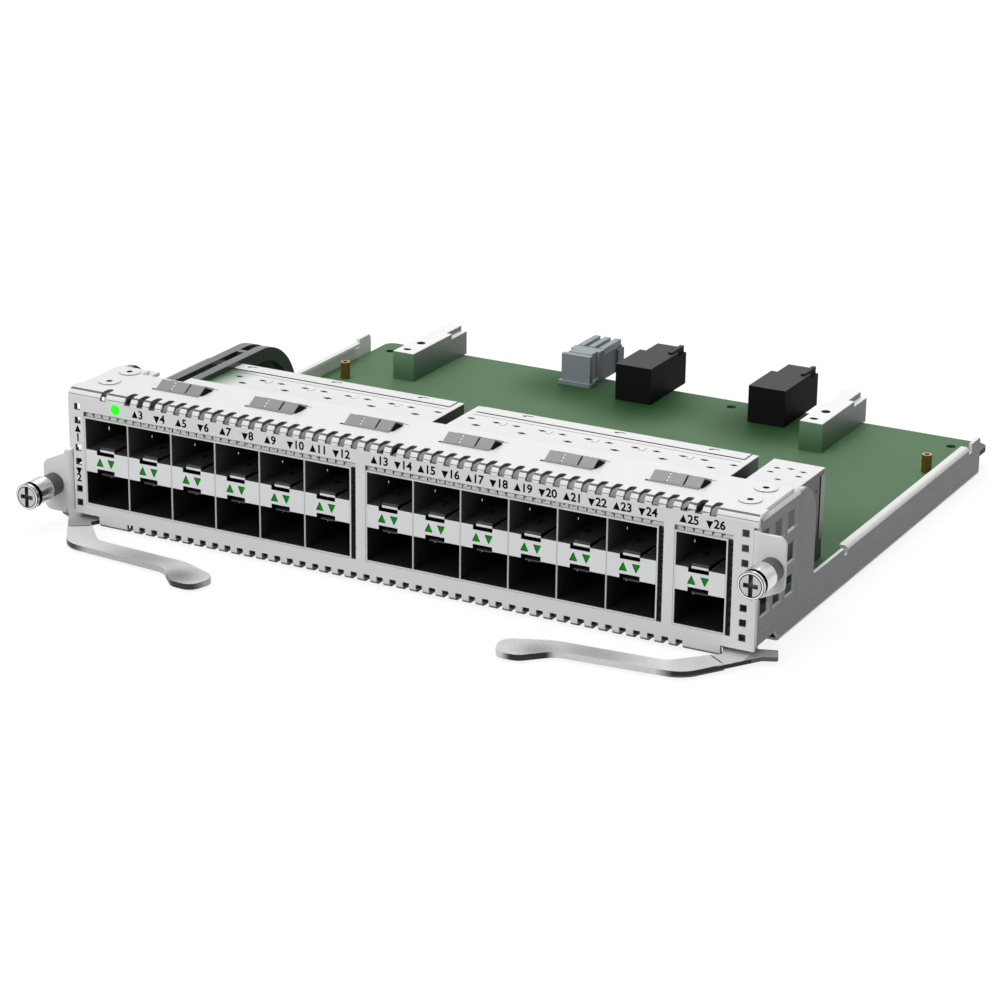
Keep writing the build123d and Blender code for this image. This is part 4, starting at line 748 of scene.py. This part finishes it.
# inside the ports: raised dimples on each left wall, the springs' cuts and painted highlights along edges in
# the upper floor, the latch tongue's lip with a painted highlight over painted shade, and the two lit
# triangles on the separator with rims of painted shadow
portDetail = {
    "sideWall": 0.4, "dividerWall": 0.2,  # from the cage's side, or a divider's middle, to the wall's face
    "upper": (11.9, 25.1), "upperSize": (0.3, 0.42, 0.8), "firstSize": (0.4, 0.75, 1.2),
    "lower": (11.9, 10.6), "lowerSize": (0.22, 0.26, 0.45),
    "hooks": (((0.8, 15.0), (1.35, 19.4)), ((1.35, 17.6), (2.3, 18.3)), ((2.7, 11.2), (4.7, 11.9))),
    "hookLift": 0.05, "edges": (((3.62, 3.7), (3.7, 9.3)), ((9.7, 1.2), (9.82, 9.0))), "edgeLift": 0.04,
    "lipSides": (4.2, 8.95), "lipFront": (1.02, 1.2), "lipLow": 22.15, "lipRise": 0.48,
    "triangles": ((4.8, True), (8.5, False)), "triangleHeight": 19.4, "tall": 1.22, "thick": 0.03,
    "rim": (-0.08, -0.01, 1.16), "tip": (0.14, -0.03, 0.95),  # shift in X, place in Y and half width
}
dimples, hooks, edges, lips, tips, rims = [bmesh.new() for piece in range(6)]


def addDimple(place, size):  # a flattened ball half sunk in the wall
    bmesh.ops.create_uvsphere(dimples, u_segments=14, v_segments=8, radius=1.0, matrix=Matrix.Translation(
        Vector(place) * mm) @ Matrix.Diagonal((*(Vector(size) * mm), 1.0)))


def addWindow(mesh, x, up, shape):  # a lit triangle, or its dark rim of painted shadow, turned about the middle of its height
    shift, y, half = shape
    addTriangle(mesh, (x + shift, y, portDetail["triangleHeight"]), half * 2 / math.sqrt(3),
                portDetail["thick"], up, portDetail["tall"], drop=half / 4)


floorLevel = card["separatorHigh"]
for left, width, columns in cages:
    for column in range(columns):
        x = left + card["firstWall"] + card["portPitch"] * column
        wall = x + portDetail["dividerWall"] if column else left + portDetail["sideWall"]
        veryFirst = left == card["leftCage"] and column == 0  # its upper dimple shows larger
        addDimple((wall, *portDetail["upper"]), portDetail["firstSize" if veryFirst else "upperSize"])
        addDimple((wall, *portDetail["lower"]), portDetail["lowerSize"])
        for mesh, shapes, lift in ((hooks, "hooks", "hookLift"), (edges, "edges", "edgeLift")):
            for low, high in portDetail[shapes]:
                addPlate(mesh, (x + low[0], low[1]), (x + high[0], high[1]), floorLevel, portDetail[lift])
        (lipLeft, lipRight), (front, back) = portDetail["lipSides"], portDetail["lipFront"]
        addBlock(lips, (x + lipLeft, front, portDetail["lipLow"]),
                 (x + lipRight, back, floorLevel + portDetail["lipRise"]))
        for place, up in portDetail["triangles"]:
            addWindow(rims, x + place, up, portDetail["rim"])
            addWindow(tips, x + place, up, portDetail["tip"])
keepPiece("portDimples", dimples, "dimpleMetal")
keepPiece("latchLips", lips, "lipHighlight")
keepPiece("lightTips", tips, "windowGreen")
keepPiece("lightRimShadows", rims, "windowShadowGreen")
keepPiece("portHooks", hooks, "slotBlack")
keepPiece("portEdgeHighlights", edges, "edgeHighlight")
print("ports detailed")

# the single cage's rear plate wraps round its right side, behind a shadow line and three small dots
wrapDetail = {"side": 96.35, "start": 60.4, "end": 63.1, "low": 12.4, "high": 30.7, "thick": 0.15,
              "bevel": 0.04, "line": 0.6, "lineThick": 0.05, "lineStop": 0.2,
              "dots": ((57.5, 27.0), (54.5, 22.0), (57.5, 17.5)), "dotRadius": 0.35, "dotThick": 0.05,
              "dotLift": 0.02}
wrap, shades = bmesh.new(), bmesh.new()
side, start, low, high = (wrapDetail[key] for key in ("side", "start", "low", "high"))
addBlock(wrap, (side, start, low), (side + wrapDetail["thick"], wrapDetail["end"], high), wrapDetail["bevel"])
addBlock(shades, (side, start - wrapDetail["line"], low),
         (side + wrapDetail["lineThick"], start, high - wrapDetail["lineStop"]))
for y, z in wrapDetail["dots"]:
    addDisc(shades, (side + wrapDetail["dotLift"], y, z), wrapDetail["dotRadius"], wrapDetail["dotThick"],
            turn=Matrix.Rotation(math.radians(90), 4, "Y"), segments=12)
# the guides' tapped holes have dark rims
guideHoles = {"x": (-78.9, 59.4), "level": 15.5, "thick": 0.06, "rear": 154.5, "rearRadius": 1.42,
              "front": 146.55, "frontRadius": 1.05, "frontShift": -0.55, "frontSquash": (1.25, 0.9, 1.0)}
for x in guideHoles["x"]:
    addDisc(shades, (x, guideHoles["rear"], guideHoles["level"]),
            guideHoles["rearRadius"], guideHoles["thick"])
    addDisc(shades, (x + guideHoles["frontShift"], guideHoles["front"], guideHoles["level"]),
            guideHoles["frontRadius"], guideHoles["thick"], squash=guideHoles["frontSquash"])
keepPiece("cageWrap", wrap, "clipSteel")
keepPiece("sideShades", shades, "slotBlack")

# a dark line of painted shade where each lever's neck steps down to its root
stepDetail = {"from": (94.9, -4.6), "to": (99.7, -7.98), "shift": -0.2, "width": 0.34,
              "low": 2.2, "high": 2.23}
for side, name in ((-1, "left"), (1, "right")):
    line = bmesh.new()
    start, end = (Vector((side * place[0], place[1], 0)) for place in (stepDetail["from"], stepDetail["to"]))
    along = (end - start).normalized()
    middle = (start + end) / 2 + Vector((side * abs(along.y), abs(along.x), 0)) * stepDetail["shift"]
    middle.z = (stepDetail["low"] + stepDetail["high"]) / 2
    size = Vector(((end - start).length, stepDetail["width"], stepDetail["high"] - stepDetail["low"])) * mm
    turn = Matrix.Rotation(math.atan2(along.y, along.x), 4, "Z")
    bmesh.ops.create_cube(line, size=1.0,
                          matrix=Matrix.Translation(middle * mm) @ turn @ Matrix.Diagonal((*size, 1.0)))
    keepPiece(name + "LeverLine", line, "slotBlack", name + "_ejector_lever")
print("small details made")

# floor: glows white to the camera and in reflections, and keeps the card's shadow
floorLook = {"size": 6.0, "middle": 0.5, "drop": 0.0004, "shine": 0.84, "paint": 0.24, "bounce": 0.5}
floorMesh = bmesh.new()
bmesh.ops.create_grid(floorMesh, x_segments=1, y_segments=1, size=floorLook["size"] / 2,
                      matrix=Matrix.Translation((0, floorLook["middle"], -floorLook["drop"])))
floorData = bpy.data.meshes.new("floor")
floorMesh.to_mesh(floorData)
floorMesh.free()
floor = bpy.data.objects.new("floor", floorData)
bpy.context.scene.collection.objects.link(floor)
floorPaint = bpy.data.materials.new("floorPaint")
floorPaint.use_nodes = True
tree = floorPaint.node_tree
tree.nodes.clear()
link = tree.links.new
out = addNode(tree, "ShaderNodeOutputMaterial")
seen = addNode(tree, "ShaderNodeLightPath")
cameraOrGloss = addNode(tree, "ShaderNodeMath", operation="MAXIMUM")
orGlass = addNode(tree, "ShaderNodeMath", operation="MAXIMUM")
matt = addNode(tree, "ShaderNodeBsdfDiffuse", [("Color", (floorLook["bounce"],) * 3 + (1,))])
shown = addNode(tree, "ShaderNodeBsdfDiffuse", [("Color", (floorLook["paint"],) * 3 + (1,))])
glow = addNode(tree, "ShaderNodeEmission", [("Color", (1, 1, 1, 1)), ("Strength", floorLook["shine"])])
both = addNode(tree, "ShaderNodeAddShader")
choose = addNode(tree, "ShaderNodeMixShader")
link(seen.outputs["Is Camera Ray"], cameraOrGloss.inputs[0])
link(seen.outputs["Is Glossy Ray"], cameraOrGloss.inputs[1])
link(cameraOrGloss.outputs[0], orGlass.inputs[0])
link(seen.outputs["Is Transmission Ray"], orGlass.inputs[1])
link(shown.outputs[0], both.inputs[0])
link(glow.outputs[0], both.inputs[1])
link(orGlass.outputs[0], choose.inputs[0])
link(matt.outputs[0], choose.inputs[1])
link(both.outputs[0], choose.inputs[2])
link(choose.outputs[0], out.inputs["Surface"])
floor.data.materials.append(floorPaint)

# world: a soft fill, brighter above for reflections, and plain white behind the card
worldLook = {"fill": 0.36, "high": 1.0, "highStop": 0.75, "level": 0.62, "levelStop": 0.5, "low": 0.16}
world = bpy.data.worlds.new("studio")
bpy.context.scene.world = world
world.use_nodes = True
tree = world.node_tree
tree.nodes.clear()
link = tree.links.new
out = addNode(tree, "ShaderNodeOutputWorld")
seen = addNode(tree, "ShaderNodeLightPath")
place = addNode(tree, "ShaderNodeTexCoord")
parts = addNode(tree, "ShaderNodeSeparateXYZ")
ramp = addNode(tree, "ShaderNodeValToRGB")
lowStop, highStop = ramp.color_ramp.elements
lowStop.position, lowStop.color = 0.0, (worldLook["low"],) * 3 + (1,)
highStop.position, highStop.color = worldLook["highStop"], (worldLook["high"],) * 3 + (1,)
ramp.color_ramp.elements.new(worldLook["levelStop"]).color = (worldLook["level"],) * 3 + (1,)
span = addNode(tree, "ShaderNodeMapRange", [("From Min", -1.0), ("From Max", 1.0)])
fill = addNode(tree, "ShaderNodeBackground", [("Color", (1, 1, 1, 1)), ("Strength", worldLook["fill"])])
shine = addNode(tree, "ShaderNodeBackground", [("Strength", 1.0)])
white = addNode(tree, "ShaderNodeBackground", [("Color", (1, 1, 1, 1)), ("Strength", 1.0)])
forGloss = addNode(tree, "ShaderNodeMixShader")
forCamera = addNode(tree, "ShaderNodeMixShader")
link(place.outputs["Generated"], parts.inputs[0])
link(parts.outputs["Z"], span.inputs["Value"])
link(span.outputs[0], ramp.inputs[0])
link(ramp.outputs[0], shine.inputs["Color"])
link(seen.outputs["Is Glossy Ray"], forGloss.inputs[0])
link(fill.outputs[0], forGloss.inputs[1])
link(shine.outputs[0], forGloss.inputs[2])
link(seen.outputs["Is Camera Ray"], forCamera.inputs[0])
link(forGloss.outputs[0], forCamera.inputs[1])
link(white.outputs[0], forCamera.inputs[2])
link(forCamera.outputs[0], out.inputs["Surface"])

lamps = [
    {"name": "above", "place": (-0.1, 0.1, 1.6), "aim": (0, 0.08, 0), "size": 1.5, "power": 11.6},
    {"name": "front", "place": (-0.55, -1.6, 0.75), "aim": (0, 0.03, 0.02), "size": 1.1, "power": 9.8},
    {"name": "rear", "place": (-0.6, 1.7, 0.8), "aim": (0, 0.1, 0.02), "size": 1.0, "power": 3.5},
]
for lamp in lamps:
    data = bpy.data.lights.new(lamp["name"], "AREA")
    data.shape, data.size, data.energy = "DISK", lamp["size"], lamp["power"]
    light = bpy.data.objects.new(lamp["name"], data)
    bpy.context.scene.collection.objects.link(light)
    light.location = lamp["place"]
    light.rotation_euler = (Vector(lamp["aim"]) - Vector(lamp["place"])).to_track_quat("-Z", "Y").to_euler()

# camera at the photo's angle: turned round the card, tilted down, and rolled a little; angles in radians
view = {"lens": 114.626, "turn": 0.48547, "tilt": 0.34710, "roll": 0.01196,
        "place": (0.39430, -0.68758, 0.31224)}
cameraData = bpy.data.cameras.new("camera")
cameraData.sensor_width, cameraData.lens = 36.0, view["lens"]
cameraData.clip_start, cameraData.clip_end = 0.05, 20.0
camera = bpy.data.objects.new("camera", cameraData)
bpy.context.scene.collection.objects.link(camera)
turn, tilt, roll = view["turn"], view["tilt"], view["roll"]
back = Vector((math.sin(turn) * math.cos(tilt), -math.cos(turn) * math.cos(tilt), math.sin(tilt)))
level = Vector((math.cos(turn), math.sin(turn), 0))
upright = back.cross(level)
across = level * math.cos(roll) + upright * math.sin(roll)
upward = upright * math.cos(roll) - level * math.sin(roll)
camera.matrix_world = Matrix((across, upward, back)).transposed().to_4x4()
camera.location = view["place"]
bpy.context.scene.camera = camera
bpy.context.scene.view_settings.view_transform = "Standard"
print("stage set")
